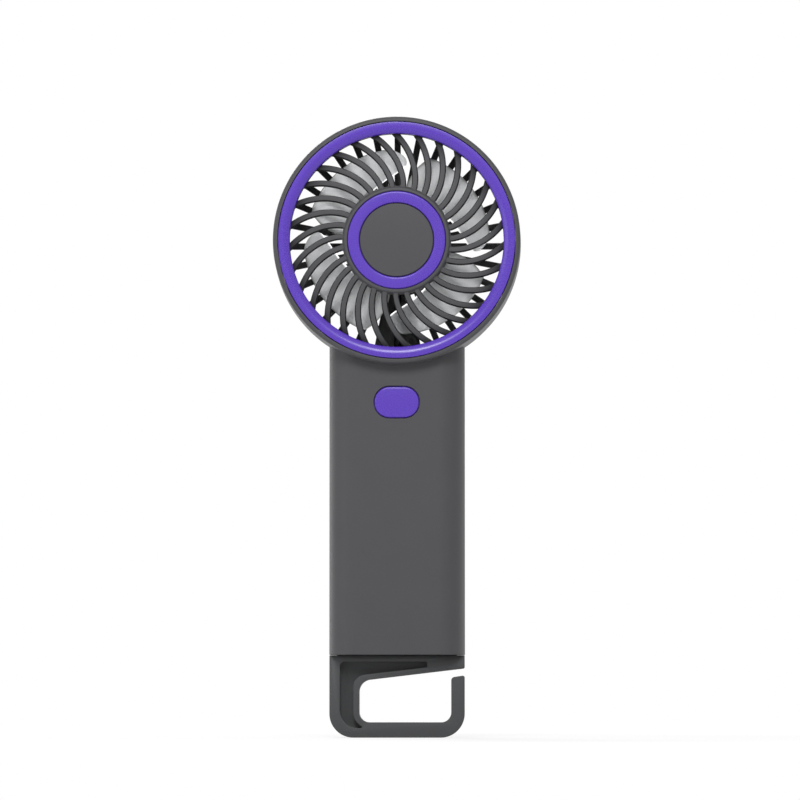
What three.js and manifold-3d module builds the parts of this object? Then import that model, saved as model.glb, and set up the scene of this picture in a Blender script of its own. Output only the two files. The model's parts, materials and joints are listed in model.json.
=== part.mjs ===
// A hand crank pocket fan in separate pieces, in millimetres.
// X runs to the viewer's right, the front faces -Y, Z runs up, and Z = 0 is the foot of the hook.
import * as THREE from "three";
import { mergeVertices } from "three/addons/utils/BufferGeometryUtils.js";
import Module from "manifold-3d";

const wasm = await Module();
wasm.setup();

// Play between pieces
const seatGap = 0.1; // between two faces that rest on each other
const fitGap = 0.3; // around a piece that another one holds
const runningGap = 0.15; // around a turning shaft, on the radius
const threadGap = 0.1; // around a screw in its hole, on the radius
const overrun = 1; // how far a cutter passes the face that it cuts

// How finely round things are cut
const ringSteps = 48;
const hubSteps = 32;
const smallSteps = 16;
const tinySteps = 8;
const cornerSteps = 3; // an outline's arc gets twice as many flats as this
const pinSteps = 8; // and so does the hinge pin

// Handle
const handleWidth = 45.4;
const handleDepth = 25;
const handleCornerRadius = 9;
const handleWall = 2;
const handleBottom = 27.6;
const partingGap = 0.15;

// Head, around an axis along Y
const headHeight = 165.8; // of that axis above the foot
const rimRadius = 41.3;
const rimWall = 1.5;
const drumSwell = 0.3; // over the rim, at the parting line
const drumBackTaper = 0.6; // from there to the back
const rimProud = 5; // how far the rim stands in front of the handle
const rimEdge = 1.2;
const drumBackEdge = 1.3;
const backLip = 0.7; // inwards, behind the rear grille
const backLipDepth = 1.2;

// Outer trim ring
const trimWidth = 3.9;
const trimCrest = 0.1; // behind the rim's front
const trimShoulder = 0.9; // from the crest back to the ring's edges
const trimDepth = 2.3;

// Front grille
const frontRibs = 31;
const frontRibWidth = 2.2;
const frontRibDepth = 2.2;
const ribHubAngle = 41.7; // degrees clockwise from the top, where a rib leaves the hub
const ribSweep = 18.8; // degrees that a rib turns on its way to the frame
const ribCurlPower = 1.4;
const ribRise = 1.5; // how much further forward the ribs lie at the hub than at the frame
const ribSteps = 5;
const frameDepth = 2.6;
const grilleHubRadius = 18.2;
const grilleHubDepth = 3.9;
const grilleHubChamfer = 1.3;
const hubRecess = 1.6;
const hubRimWall = 1.7;
const hubFront = 0.6; // behind the rim's front

// Hub accent ring and cap
const accentWidth = 3.9;
const accentProud = 0.2;
const accentEdge = 0.5;
const capEdge = 0.3;
const capStemRadius = 2;
const capStemLength = 2.6;

// Impeller
const bladeCount = 4;
const impellerHubRadius = 15.5;
const impellerHubWall = 1.5;
const impellerHubFace = 1.6;
const impellerBehindGrille = 1.4;
const bladeTipGap = 4.5; // to the outer trim ring, on the radius
const bladeThickness = 1.2;
const bladeFrontDrop = 2.2; // from the hub's face back to the trailing edge
const bladeBackProud = 0.2; // how far the leading edge passes the hub's back
const bladeLeadHub = 7.5; // degrees clockwise from the top
const bladeLeadTip = 21;
const bladeTrailTip = 86;
const bladeTrailReach = 97; // where the trailing edge bulges furthest back
const bladeReachShare = 0.72; // and how far out from hub to tip that is
const bladeStepsRound = 8;
const bladeStepsOut = 6;

// Motor
const rotorWall = 1.1;
const rotorInset = 1.1; // from the impeller hub's back
const magnetWall = 1;
const magnetInset = 0.6;
const statorInset = 1.35; // from each end of the can's inside
const statorSlots = 9;
const statorToothWidth = 1.4;
const statorCoreWall = 2.25;
const statorMouthWidth = 1.1;
const statorLipDepth = 1.2;
const motorShaftRadius = 1;
const bearingTubeRadius = 3;
const motorBaseRadius = 10.5;
const motorBaseThickness = 1.2;
const motorBaseGap = 3.2; // behind the impeller's hub
const motorScrewCircle = 7;
const motorScrews = 3;

// Rear grille
const rearRibs = 32;
const rearRibWidth = 2.1;
const rearRibDepth = 2;
const rearRibInset = 2.2; // from the head's back to the ribs' back
const rearRingWall = 0.6;
const rearRingDepth = 3.2;
const rearHubRadius = 17;
const rearHubDepth = 2.4;
const rearSeatRadius = 9.5;
const rearSeatHeight = 3.5;
const armDepth = 3.7;
const leadGrooveWidth = 2.5;
const leadGrooveDepth = 2.6;

// Hook cap
const hookDepth = 12;
const hookSideInset = 0.1; // from the handle's sides
const hookCornerRadius = 8;
const hookFootBar = 5.1;
const hookTipBar = 4.5;
const hookTipSlant = 0.7;
const hookTipCorner = 1.2;
const hookMouth = 2.3; // from the tip up to the sloping edge
const hookSpine = 9.9; // the wide bar at the left, pocket included
const hookInnerCorner = 3.4;
const hookTopCorner = 4.1;
const hookBandLeft = 8.55; // from the sloping edge up to the hook's top, over the spine
const hookBandRight = 4.35; // and at the mouth
const hookSeam = 0.15;
const pocketSideWall = 3.5;
const pocketTopWall = 2.05;
const pocketInnerWall = 1.9;
const pocketRightWall = 12.5;
const pocketFoot = 3.2;
const pocketFootCorner = 6.2;
const pocketTailTurn = 55; // degrees that the pocket goes on round the opening's corner
const pocketTailTip = 0.35;
const pocketDepth = 3.2;
const pocketCorner = 1;
const plugHeight = 4.6;
const hookScrewX = 9;
const hookScrewRise = 2.4;

// Power button
const buttonWidth = 14.8;
const buttonHeight = 10.3;
const buttonSideFlat = 0.4; // straight stretch of its short sides
const buttonDrop = 12.4; // from the drum down to its middle
const buttonGap = 0.3;
const buttonProud = 0.4;
const buttonFlange = 1.2;
const buttonFlangeThickness = 1.2;
const buttonTravel = 0.8;
const buttonStemRadius = 1.6;
const buttonStemLength = 0.4;

// Main board
const boardSideGap = 3.7;
const boardHeight = 15.6;
const boardThickness = 1.2;
const boardCornerRadius = 1.2;
const boardPostInset = 5.5; // from the board's side to the screw
const boardPostRise = 2.3;
const boardPostRadius = 1.8;
const switchSize = 5;
const switchDepth = 1.5;
const plungerRadius = 1.2;
const plungerDepth = 0.8;

// Charging socket
const socketWidth = 9;
const socketHeight = 3.2;
const socketLength = 7.4;
const socketWall = 0.4;
const socketInset = 0.3;
const tongueThickness = 0.7;
const tongueWidth = 6.6;
const socketBack = 1.2;

// Battery
const batterySideGap = 5.2;
const batteryEndGap = 1.4; // to the dynamo below and to the board above
const batteryDepth = 6;
const batteryEdge = 2;

// Gear train, from the crank to the dynamo
const coarseModule = 0.8;
const fineModule = 0.6;
const smallTeeth = 10;
const largeTeeth = 36;
const dynamoTeeth = 12;
const addendumShare = 0.8;
const dedendumShare = 1.05;
const pressureAngle = 25;
const backlash = 0.2;
const crankGearWidth = 2.8;
const crankGearGap = 0.5; // to the bush behind it
const crankGearSideGap = 4; // to the handle's walls
const gearTierGap = 1.4; // between the crank gear and the large gear in front of it
const largeGearWidth = 2.4;
const largeGearGap = 0.4; // to the plate in front of it
const crankGearHubRadius = 5.2;
const crankGearHubLength = 1.4;
const axleRadius = 1.05;

// Gear plate
const plateThickness = 1.5;
const plateSideGap = 1.5;
const plateTopInset = 2.2; // narrower at its top, on each side
const plateFootWidth = 18;
const plateFootDrop = 9.2; // below the dynamo's axis
const plateShoulderRise = 2.4; // above the dynamo's axis
const plateOverGear = 5.4; // from the crank gear's top to the plate's
const plateLowScrewInset = 2.9;
const plateLowScrewDrop = 8; // below the compound gear's axis
const plateHighScrewInset = 3.4;
const plateHighScrewDrop = 3.4; // below the plate's top
const plateCorner = 2.5;

// Dynamo
const dynamoRadius = 11;
const dynamoFrontGap = 1; // to the handle's front wall
const dynamoFootGap = 3.3; // to the hook's plug
const dynamoEdge = 0.3;
const dynamoBellDepth = 1.3;
const dynamoFloor = 1.2;
const dynamoShaftRadius = 1;
const dynamoPinionWidth = 2.8;
const dynamoScrewX = 6.5;

// Crank
const crankShaftRadius = 3;
const crankNeckRadius = 2.4;
const bushWall = 2;
const bushFlange = 1.8;
const bushFlangeThickness = 0.6;
const bushInside = 1.3;
const armOffBack = 1; // from the handle's back to the crank arm
const armThickness = 7;
const crankRadius = 36;
const armHubRadius = 8;
const armEndRadius = 7;
const armSlotWidth = 9.4;
const armSlotFoot = 4.4; // from the hinge pin down to the slot's end
const crankScrewHeadRadius = 3.5;
const crankScrewHeadDepth = 1.3;
const crankScrewRadius = 1.2;
const crankScrewLength = 6;

// Knob, folded into the arm
const knobAxisDepth = 4; // from the arm's inner face to the hinge pin
const knobPinRadius = 1;
const knobBarrelRadius = 3;
const knobBarrelGap = 0.4;
const knobCollarRadius = 3.2;
const knobCollarThickness = 1;
const knobPostRadius = 2;
const gripStart = 3.8; // from the hinge pin to the grip
const gripLength = 20;
const gripRadius = 4.2;
const gripWaist = 0.5;
const gripEdge = 0.8;
const gripSinkDepth = 1.6;
const gripSinkRadius = 3.3;
const knobScrewHeadRadius = 3;
const knobScrewHeadDepth = 1.3;
const knobScrewRadius = 0.8;
const knobScrewLength = 6;
const slotHeadroom = 1.6;

// Small screws
const screwRadius = 0.9;
const screwHeadRadius = 2;
const screwHeadDepth = 1.2;
const screwDriveRadius = 0.9;
const screwDriveDepth = 0.6;
const screwSinkDepth = 1.6;
const bossRadius = 3.3;
const bossInset = 6.2; // from the handle's inner wall to a boss's axis
const bossEndGap = 0.6; // to the hook's plug and to the drum
const shellScrewLength = 15;
const shortScrewLength = 4.6;
const plateBossRadius = 2.6;

// Leads
const motorLeadRadius = 0.9;
const smallLeadRadius = 0.7;
const leadSides = 4; // doubled in the section
const leadSteps = 12;

// Places that follow from the sizes above
const frontFace = -handleDepth / 2;
const backFace = handleDepth / 2;
const innerFront = frontFace + handleWall;
const innerBack = backFace - handleWall;
const halfParting = partingGap / 2;
const rimFront = frontFace - rimProud;
const innerWidth = handleWidth - 2 * handleWall;
const innerDepth = handleDepth - 2 * handleWall;
const innerCorner = handleCornerRadius - handleWall;
const drumRadius = rimRadius + drumSwell;
const drumBackRadius = drumRadius - drumBackTaper;
const drumBore = rimRadius - rimWall;
const backLipBore = drumBore - backLip;
const bossX = innerWidth / 2 - bossInset;
const lowBossZ = handleBottom + plugHeight + bossEndGap + bossRadius;
const highBossZ = headHeight - drumRadius - bossEndGap - bossRadius;
const buttonRise = headHeight - drumRadius - buttonDrop;
const buttonCornerRadius = (buttonHeight - buttonSideFlat) / 2;
const trimOuter = drumBore - 2 * seatGap;
const trimInner = trimOuter - trimWidth;
const trimFront = rimFront + trimCrest;
const trimBack = trimFront + trimDepth;
const frameFront = trimBack + seatGap;
const frameBack = frameFront + frameDepth;
const grilleHubFront = rimFront + hubFront;
const grilleHubBack = grilleHubFront + grilleHubDepth;
const hubFloor = grilleHubFront + hubRecess;
const hubRecessRadius = grilleHubRadius - hubRimWall;
const accentOuter = hubRecessRadius - runningGap;
const accentInner = accentOuter - accentWidth;
const rearRibBack = backFace - rearRibInset;
const rearRibFront = rearRibBack - rearRibDepth;
const rearHubBack = rearRibBack + seatGap;
const motorBaseBack = rearHubBack - rearHubDepth - rearSeatHeight - seatGap;
const motorBaseFront = motorBaseBack - motorBaseThickness;
const impellerFront = grilleHubBack + impellerBehindGrille;
const impellerBack = motorBaseFront - motorBaseGap;
const rotorRadius = impellerHubRadius - impellerHubWall - fitGap;
const rotorFront = impellerFront + impellerHubFace + seatGap;
const rotorBack = impellerBack - rotorInset;
const magnetOuter = rotorRadius - rotorWall - seatGap;
const statorRadius = magnetOuter - magnetWall - fitGap;
const statorFront = rotorFront + rotorWall + statorInset;
const statorBack = rotorBack - statorInset;
const rearRingOuter = drumBore - seatGap * 2;
const boardFront = innerFront + buttonFlangeThickness + buttonTravel + buttonStemLength
  + plungerDepth + switchDepth + 3 * seatGap;
const boardBack = boardFront + boardThickness;
const boardWidth = innerWidth - 2 * boardSideGap;
const boardBottom = highBossZ - bossRadius - fitGap - boardHeight;
const boardPostX = boardWidth / 2 - boardPostInset;
const socketRise = boardBottom + boardHeight / 2;
const crankGearBack = innerBack - bushInside - crankGearGap;
const crankGearFront = crankGearBack - crankGearWidth;
const largeGearBack = crankGearFront - gearTierGap;
const largeGearFront = largeGearBack - largeGearWidth;
const plateBack = largeGearFront - largeGearGap;
const plateFront = plateBack - plateThickness;
const dynamoDistance = fineModule * (largeTeeth + dynamoTeeth) / 2;
const dynamoHeight = handleBottom + plugHeight + dynamoFootGap + dynamoRadius;
const compoundHeight = dynamoHeight + dynamoDistance;
const crankTeeth = mostCrankTeeth();
const crankDistance = coarseModule * (crankTeeth + smallTeeth) / 2;
const crankAxisHeight = compoundHeight + crankDistance;
const crankGearTip = coarseModule * (crankTeeth / 2 + addendumShare);
const dynamoBack = plateFront - seatGap;
const dynamoLength = dynamoBack - innerFront - dynamoFrontGap;
const plateWidth = innerWidth - 2 * plateSideGap;
const plateTopWidth = plateWidth - 2 * plateTopInset;
const plateBottom = dynamoHeight - plateFootDrop;
const plateShoulder = dynamoHeight + plateShoulderRise;
const plateTop = crankAxisHeight + crankGearTip + plateOverGear;
const plateLowScrewX = plateWidth / 2 - plateLowScrewInset;
const plateLowScrewZ = compoundHeight - plateLowScrewDrop;
const plateHighScrewX = plateTopWidth / 2 - plateHighScrewInset;
const plateHighScrewZ = plateTop - plateHighScrewDrop;
const batteryWidth = innerWidth - 2 * batterySideGap;
const batteryBottom = dynamoHeight + dynamoRadius + batteryEndGap;
const batteryTop = boardBottom - batteryEndGap;
const armFront = backFace + armOffBack;
const armBack = armFront + armThickness;
const knobAxisY = armFront + knobAxisDepth;
const neckStart = armFront - seatGap;
const crankScrewSeat = armBack - crankScrewHeadDepth - fitGap;
const bladeTipRadius = trimInner - bladeTipGap;
const bladeFront = impellerFront + bladeFrontDrop;
const bladeRise = impellerBack + bladeBackProud - bladeFront;

// The crank gear is the largest that clears the side walls and, with the plate, the upper bosses.
function mostCrankTeeth() {
  const acrossRoom = innerWidth / 2 - crankGearSideGap;
  const upperEdge = highBossZ - bossRadius - fitGap - plateOverGear;
  const acrossTeeth = 2 * (acrossRoom / coarseModule - addendumShare);
  const upwardTeeth = (upperEdge - compoundHeight) / coarseModule - smallTeeth / 2 - addendumShare;
  return Math.floor(Math.min(acrossTeeth, upwardTeeth));
}

// Colours and finishes
function plastic(color, roughness) {
  return new THREE.MeshStandardMaterial({ color, roughness, metalness: 0 });
}
function metal(color, roughness) {
  return new THREE.MeshStandardMaterial({ color, roughness, metalness: 1 });
}
const darkShell = () => plastic(0x5c5d61, 0.55);
const hookGrey = () => plastic(0x525456, 0.55);
const purple = () => plastic(0x6a4dc6, 0.45);
const blackPlastic = () => plastic(0x141416, 0.5);
const whitePlastic = () => plastic(0xe6e6e0, 0.4);
const boardGreen = () => plastic(0x1f5c3a, 0.5);
const silverPouch = () => plastic(0xb4b8bc, 0.35);
const leadRed = () => plastic(0xa02822, 0.5);
const steel = () => metal(0xb9bcc0, 0.35);
const darkSteel = () => metal(0x4a4c50, 0.45);
const brass = () => metal(0xc9a45a, 0.35);
const copper = () => metal(0xb4683a, 0.45);
function frosted() {
  const material = plastic(0xd8dade, 0.5);
  material.transparent = true;
  material.opacity = 0.6;
  return material;
}

// Closed meshes become solids that can be joined and cut
function solidOf(source) {
  const geometry = source.index ? source.clone() : mergeVertices(source.clone());
  geometry.deleteAttribute("normal");
  geometry.deleteAttribute("uv");
  const merged = mergeVertices(geometry);
  const corners = merged.index.array;
  const triangles = [];
  for (let i = 0; i < corners.length; i += 3) {
    const [a, b, c] = [corners[i], corners[i + 1], corners[i + 2]];
    if (a !== b && b !== c && c !== a) triangles.push(a, b, c);
  }
  const places = merged.attributes.position;
  const [a, b, c] = [new THREE.Vector3(), new THREE.Vector3(), new THREE.Vector3()];
  let volume = 0;
  for (let i = 0; i < triangles.length; i += 3) {
    a.fromBufferAttribute(places, triangles[i]);
    b.fromBufferAttribute(places, triangles[i + 1]);
    c.fromBufferAttribute(places, triangles[i + 2]);
    volume += a.dot(b.cross(c));
  }
  if (volume < 0) triangles.reverse();
  return new wasm.Manifold(new wasm.Mesh({
    numProp: 3,
    vertProperties: new Float32Array(places.array),
    triVerts: new Uint32Array(triangles),
  }));
}

function geometryOf(solid) {
  const mesh = solid.getMesh();
  const geometry = new THREE.BufferGeometry();
  geometry.setAttribute("position", new THREE.BufferAttribute(mesh.vertProperties, 3));
  geometry.setIndex(new THREE.BufferAttribute(mesh.triVerts, 1));
  geometry.computeVertexNormals();
  return geometry;
}

function piece(name, solid, material, place = [0, 0, 0]) {
  const mesh = new THREE.Mesh(geometryOf(solid), material);
  mesh.name = name;
  mesh.position.set(...place);
  return mesh;
}

const join = (...solids) => solids.reduce((whole, next) => whole.add(next));
const cut = (whole, ...tools) => tools.reduce((rest, tool) => rest.subtract(tool), whole);

// Outlines
function roundedOutline(corners) {
  // Each corner is [x, y, radius]; the radius is tangent to both sides.
  const shape = new THREE.Shape();
  corners.forEach(([x, y, radius = 0], i) => {
    const here = new THREE.Vector2(x, y);
    const before = corners[(i + corners.length - 1) % corners.length];
    const after = corners[(i + 1) % corners.length];
    const inward = new THREE.Vector2(before[0], before[1]).sub(here).normalize();
    const outward = new THREE.Vector2(after[0], after[1]).sub(here).normalize();
    const half = Math.acos(THREE.MathUtils.clamp(inward.dot(outward), -1, 1)) / 2;
    const reach = radius / Math.tan(half);
    const start = here.clone().addScaledVector(inward, reach);
    const end = here.clone().addScaledVector(outward, reach);
    if (i === 0) shape.moveTo(start.x, start.y);
    else shape.lineTo(start.x, start.y);
    if (radius > 0) {
      const middle = inward.clone().add(outward).normalize();
      const centre = here.clone().addScaledVector(middle, radius / Math.sin(half));
      const from = Math.atan2(start.y - centre.y, start.x - centre.x);
      const to = Math.atan2(end.y - centre.y, end.x - centre.x);
      const clockwise = inward.cross(outward) > 0;
      shape.absarc(centre.x, centre.y, radius, from, to, clockwise);
    }
  });
  shape.closePath();
  return shape;
}

function boxOutline(width, height, radius = 0, x = 0, y = 0) {
  const [w, h] = [width / 2, height / 2];
  return roundedOutline([
    [x - w, y - h, radius], [x + w, y - h, radius], [x + w, y + h, radius], [x - w, y + h, radius],
  ]);
}

// An outline drawn in X and Z, carried along Y
function alongY(shape, from, to, steps = cornerSteps) {
  const geometry = new THREE.ExtrudeGeometry(shape, {
    depth: to - from, bevelEnabled: false, curveSegments: steps,
  });
  geometry.rotateX(Math.PI / 2);
  geometry.translate(0, to, 0);
  return solidOf(geometry);
}

// An outline drawn in X and Y, carried along Z
function alongZ(shape, from, to, steps = cornerSteps) {
  const geometry = new THREE.ExtrudeGeometry(shape, {
    depth: to - from, bevelEnabled: false, curveSegments: steps,
  });
  geometry.translate(0, 0, from);
  return solidOf(geometry);
}

// An outline drawn in Y and Z, carried along X
function alongX(shape, from, to, steps = cornerSteps) {
  const geometry = new THREE.ExtrudeGeometry(shape, {
    depth: to - from, bevelEnabled: false, curveSegments: steps,
  });
  const turn = new THREE.Matrix4().makeBasis(
    new THREE.Vector3(0, 1, 0), new THREE.Vector3(0, 0, 1), new THREE.Vector3(1, 0, 0),
  );
  geometry.applyMatrix4(turn);
  geometry.translate(from, 0, 0);
  return solidOf(geometry);
}

// A profile of [radius, height] points, spun about an axis along Y
function spun(profile, steps, x = 0, z = 0) {
  const points = profile.map(([radius, height]) => new THREE.Vector2(radius, height));
  points.push(points[0].clone());
  const geometry = new THREE.LatheGeometry(points, steps);
  geometry.translate(x, 0, z);
  return solidOf(geometry);
}

// A disc or, with a bore, a ring
function disc(radius, from, to, steps, bore = 0, x = 0, z = 0) {
  return spun([[bore, from], [radius, from], [radius, to], [bore, to]], steps, x, z);
}

// The same about an axis along Z
function spunZ(profile, steps) {
  const points = profile.map(([radius, height]) => new THREE.Vector2(radius, height));
  points.push(points[0].clone());
  const geometry = new THREE.LatheGeometry(points, steps);
  geometry.rotateX(Math.PI / 2);
  return solidOf(geometry);
}

// A block of unit size whose points are moved to a curved place
function warped(stepsU, stepsV, place) {
  const block = new THREE.BoxGeometry(1, 1, 1, stepsU, stepsV, 1);
  const points = block.attributes.position;
  for (let i = 0; i < points.count; i += 1) {
    const moved = place(points.getX(i) + 1 / 2, points.getY(i) + 1 / 2, points.getZ(i));
    points.setXYZ(i, ...moved);
  }
  return solidOf(block);
}

// A point in the head's plane, by radius and by degrees clockwise from the top
function clockPoint(radius, degrees) {
  const angle = THREE.MathUtils.degToRad(degrees);
  return [radius * Math.sin(angle), radius * Math.cos(angle)];
}

// Handle and head shells
function handleTube() {
  const outer = boxOutline(handleWidth, handleDepth, handleCornerRadius);
  const inner = boxOutline(innerWidth, innerDepth, innerCorner);
  return cut(
    alongZ(outer, handleBottom, headHeight),
    alongZ(inner, handleBottom - overrun, headHeight + overrun),
  );
}

function drum() {
  const rim = [];
  const steps = 2;
  for (let i = 0; i <= steps; i += 1) {
    const angle = (Math.PI / 2) * (i / steps);
    rim.push([
      rimRadius - rimEdge + rimEdge * Math.cos(angle),
      rimFront + rimEdge - rimEdge * Math.sin(angle),
    ]);
  }
  return spun([
    [drumBore, rimFront],
    ...rim.reverse(),
    [drumRadius, -halfParting],
    [drumRadius, halfParting],
    [drumBackRadius, backFace - drumBackEdge],
    [drumBackRadius - drumBackEdge, backFace],
    [backLipBore, backFace],
    [backLipBore, backFace - backLipDepth],
    [drumBore, backFace - backLipDepth],
  ], ringSteps, 0, headHeight);
}

function halfSpace(from, to) {
  const width = 2 * (drumRadius + overrun);
  const height = headHeight + drumRadius + overrun;
  return alongY(boxOutline(width, height + overrun, 0, 0, (height - overrun) / 2), from, to);
}

function shellBlank() {
  const bore = disc(drumBore, rimFront - overrun, backFace - backLipDepth, ringSteps, 0, 0, headHeight);
  const lip = disc(backLipBore, 0, backFace + overrun, ringSteps, 0, 0, headHeight);
  return cut(join(handleTube(), drum()), bore, lip);
}

const bossPlaces = [-bossX, bossX].flatMap((x) => [[x, lowBossZ], [x, highBossZ]]);
const plateScrewPlaces = [
  [-plateLowScrewX, plateLowScrewZ], [plateLowScrewX, plateLowScrewZ],
  [-plateHighScrewX, plateHighScrewZ], [plateHighScrewX, plateHighScrewZ],
];
const hookScrewPlaces = [-hookScrewX, hookScrewX].map((x) => [x, handleBottom + hookScrewRise]);
const boardScrewPlaces = [-boardPostX, boardPostX].map((x) => [x, boardBottom + boardPostRise]);

const rodAt = (radius, from, to) => ([x, z]) => disc(radius, from, to, tinySteps, 0, x, z);

function socketHole() {
  return alongX(
    boxOutline(
      socketHeight + 2 * fitGap, socketWidth + 2 * fitGap, socketHeight / 2,
      boardBack + seatGap + socketHeight / 2, socketRise,
    ),
    innerWidth / 2 - innerCorner / 2, handleWidth / 2 + overrun,
  );
}

function frontShell(blank) {
  const half = blank.intersect(halfSpace(rimFront - overrun, -halfParting));
  const wallMiddle = innerFront - handleWall / 2;
  const bosses = bossPlaces.map(rodAt(bossRadius, wallMiddle, -halfParting));
  const posts = boardScrewPlaces.map(rodAt(boardPostRadius, wallMiddle, boardFront - seatGap));
  const threads = [...bossPlaces, ...boardScrewPlaces].map(rodAt(screwRadius + threadGap, innerFront, overrun));
  const buttonHole = alongY(
    boxOutline(
      buttonWidth + 2 * buttonGap, buttonHeight + 2 * buttonGap,
      buttonCornerRadius + buttonGap, 0, buttonRise,
    ),
    frontFace - overrun, innerFront + overrun,
  );
  return cut(join(half, ...bosses, ...posts), ...threads, buttonHole, socketHole());
}

function rearShell(blank) {
  const half = blank.intersect(halfSpace(halfParting, backFace + overrun));
  const wallMiddle = innerBack + handleWall / 2;
  const axlePlace = [0, compoundHeight];
  const bosses = [
    ...bossPlaces.map(rodAt(bossRadius, halfParting, wallMiddle)),
    ...plateScrewPlaces.map(rodAt(plateBossRadius, plateBack + seatGap, wallMiddle)),
    rodAt(plateBossRadius, crankGearBack + fitGap, wallMiddle)(axlePlace),
  ];
  const through = [...bossPlaces, ...hookScrewPlaces];
  const holes = [
    ...through.map(rodAt(screwRadius + fitGap, -overrun, backFace + overrun)),
    ...through.map(rodAt(screwHeadRadius + fitGap, backFace - screwSinkDepth, backFace + overrun)),
    ...plateScrewPlaces.map(rodAt(screwRadius + threadGap, plateBack, innerBack)),
    rodAt(axleRadius + seatGap, crankGearBack, wallMiddle)(axlePlace),
  ];
  const bushHole = disc(
    crankShaftRadius + runningGap + bushWall + seatGap,
    innerBack - overrun, backFace + overrun, smallSteps, 0, 0, crankAxisHeight,
  );
  const leadHole = alongZ(
    boxOutline(leadGrooveWidth, leadGrooveDepth + seatGap, 0, 0, rearHubBack - armDepth + leadGrooveDepth / 2),
    headHeight - drumRadius - overrun, headHeight - drumBore + overrun,
  );
  return cut(join(half, ...bosses), ...holes, bushHole, leadHole, socketHole());
}

// Head front: trim ring, grille, accent ring, cap
function outerTrimRing() {
  const crest = [];
  const steps = 4;
  for (let i = 0; i <= steps; i += 1) {
    const across = i / steps;
    crest.push([
      trimInner + (trimOuter - trimInner) * across,
      trimFront + trimShoulder * (2 * across - 1) ** 2,
    ]);
  }
  return spun([...crest, [trimOuter, trimBack], [trimInner, trimBack]], ringSteps);
}

function frontRib(index) {
  const inner = grilleHubRadius - overrun;
  const outer = trimInner + overrun / 2;
  const turn = (360 / frontRibs) * index;
  const span = trimInner - grilleHubRadius;
  const stepShare = 1 / 100;
  const degreesAt = (along) => ribHubAngle - ribSweep * along ** ribCurlPower + turn;
  return warped(ribSteps, 1, (u, v, w) => {
    const radius = inner + (outer - inner) * u;
    const along = Math.max(radius - grilleHubRadius, 0) / span;
    const [x, z] = clockPoint(radius, degreesAt(along));
    const [x2, z2] = clockPoint(radius + span * stepShare, degreesAt(along + stepShare));
    const side = new THREE.Vector2(x2 - x, z2 - z).normalize().multiplyScalar(frontRibWidth * (v - 1 / 2));
    const y = frameBack - ribRise * (1 - along) - frontRibDepth * (w + 1 / 2);
    return [x - side.y, y, z + side.x];
  });
}

function frontGrille() {
  const frameOuter = trimOuter;
  const frame = disc(frameOuter, frameFront, frameBack, ringSteps, trimInner);
  const hub = spun([
    [0, hubFloor],
    [hubRecessRadius, hubFloor],
    [hubRecessRadius, grilleHubFront],
    [grilleHubRadius - grilleHubChamfer, grilleHubFront],
    [grilleHubRadius, grilleHubFront + grilleHubChamfer],
    [grilleHubRadius, grilleHubBack],
    [0, grilleHubBack],
  ], hubSteps);
  const ribs = Array.from({ length: frontRibs }, (_, i) => frontRib(i));
  const stemHole = disc(capStemRadius + fitGap, hubFloor - overrun, grilleHubBack + overrun, tinySteps);
  return cut(join(frame, hub, ...ribs), stemHole);
}

function hubAccentRing() {
  const front = grilleHubFront - accentProud;
  const back = hubFloor - seatGap;
  return spun([
    [accentInner, front + accentEdge],
    [accentInner + accentEdge, front],
    [accentOuter - accentEdge, front],
    [accentOuter, front + accentEdge],
    [accentOuter, back],
    [accentInner, back],
  ], hubSteps);
}

function hubCap() {
  const radius = accentInner - seatGap * 2;
  const back = hubFloor - seatGap;
  return spun([
    [0, grilleHubFront],
    [radius - capEdge, grilleHubFront],
    [radius, grilleHubFront + capEdge],
    [radius, back],
    [capStemRadius, back],
    [capStemRadius, back + capStemLength],
    [0, back + capStemLength],
  ], hubSteps);
}

// Impeller and motor
function blade(index) {
  const root = impellerHubRadius - impellerHubWall / 2;
  const turn = (360 / bladeCount) * index;
  const trailCurl = (bladeTrailReach - bladeTrailTip) / (1 - bladeReachShare) ** 2;
  return warped(bladeStepsRound, bladeStepsOut, (u, v, w) => {
    const lead = bladeLeadHub + (bladeLeadTip - bladeLeadHub) * v ** 2;
    const trail = bladeTrailReach - trailCurl * (v - bladeReachShare) ** 2;
    const radius = root + (bladeTipRadius - root) * v;
    const [x, z] = clockPoint(radius, lead + (trail - lead) * u + turn);
    const y = bladeFront + bladeRise * (1 - u) + bladeThickness * w;
    return [x, y, z];
  });
}

function impeller() {
  const cup = spun([
    [0, impellerFront],
    [impellerHubRadius - impellerHubWall, impellerFront],
    [impellerHubRadius, impellerFront + impellerHubWall],
    [impellerHubRadius, impellerBack],
    [impellerHubRadius - impellerHubWall, impellerBack],
    [impellerHubRadius - impellerHubWall, impellerFront + impellerHubFace],
    [0, impellerFront + impellerHubFace],
  ], hubSteps);
  const blades = Array.from({ length: bladeCount }, (_, i) => blade(i));
  const hollow = disc(
    impellerHubRadius - impellerHubWall, impellerFront + impellerHubFace, impellerBack + overrun, hubSteps,
  );
  const shaftSocket = disc(
    motorShaftRadius + threadGap, impellerFront + impellerHubFace / 2, rotorFront, tinySteps,
  );
  return cut(join(cup, ...blades), hollow, shaftSocket);
}

function rotorCan() {
  const bore = rotorRadius - rotorWall;
  return spun([
    [motorShaftRadius + threadGap, rotorFront],
    [rotorRadius, rotorFront],
    [rotorRadius, rotorBack],
    [bore, rotorBack],
    [bore, rotorFront + rotorWall],
    [motorShaftRadius + threadGap, rotorFront + rotorWall],
  ], hubSteps);
}

function magnetRing() {
  const front = rotorFront + rotorWall + magnetInset;
  return disc(magnetOuter, front, rotorBack - magnetInset, hubSteps, magnetOuter - magnetWall);
}

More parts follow.
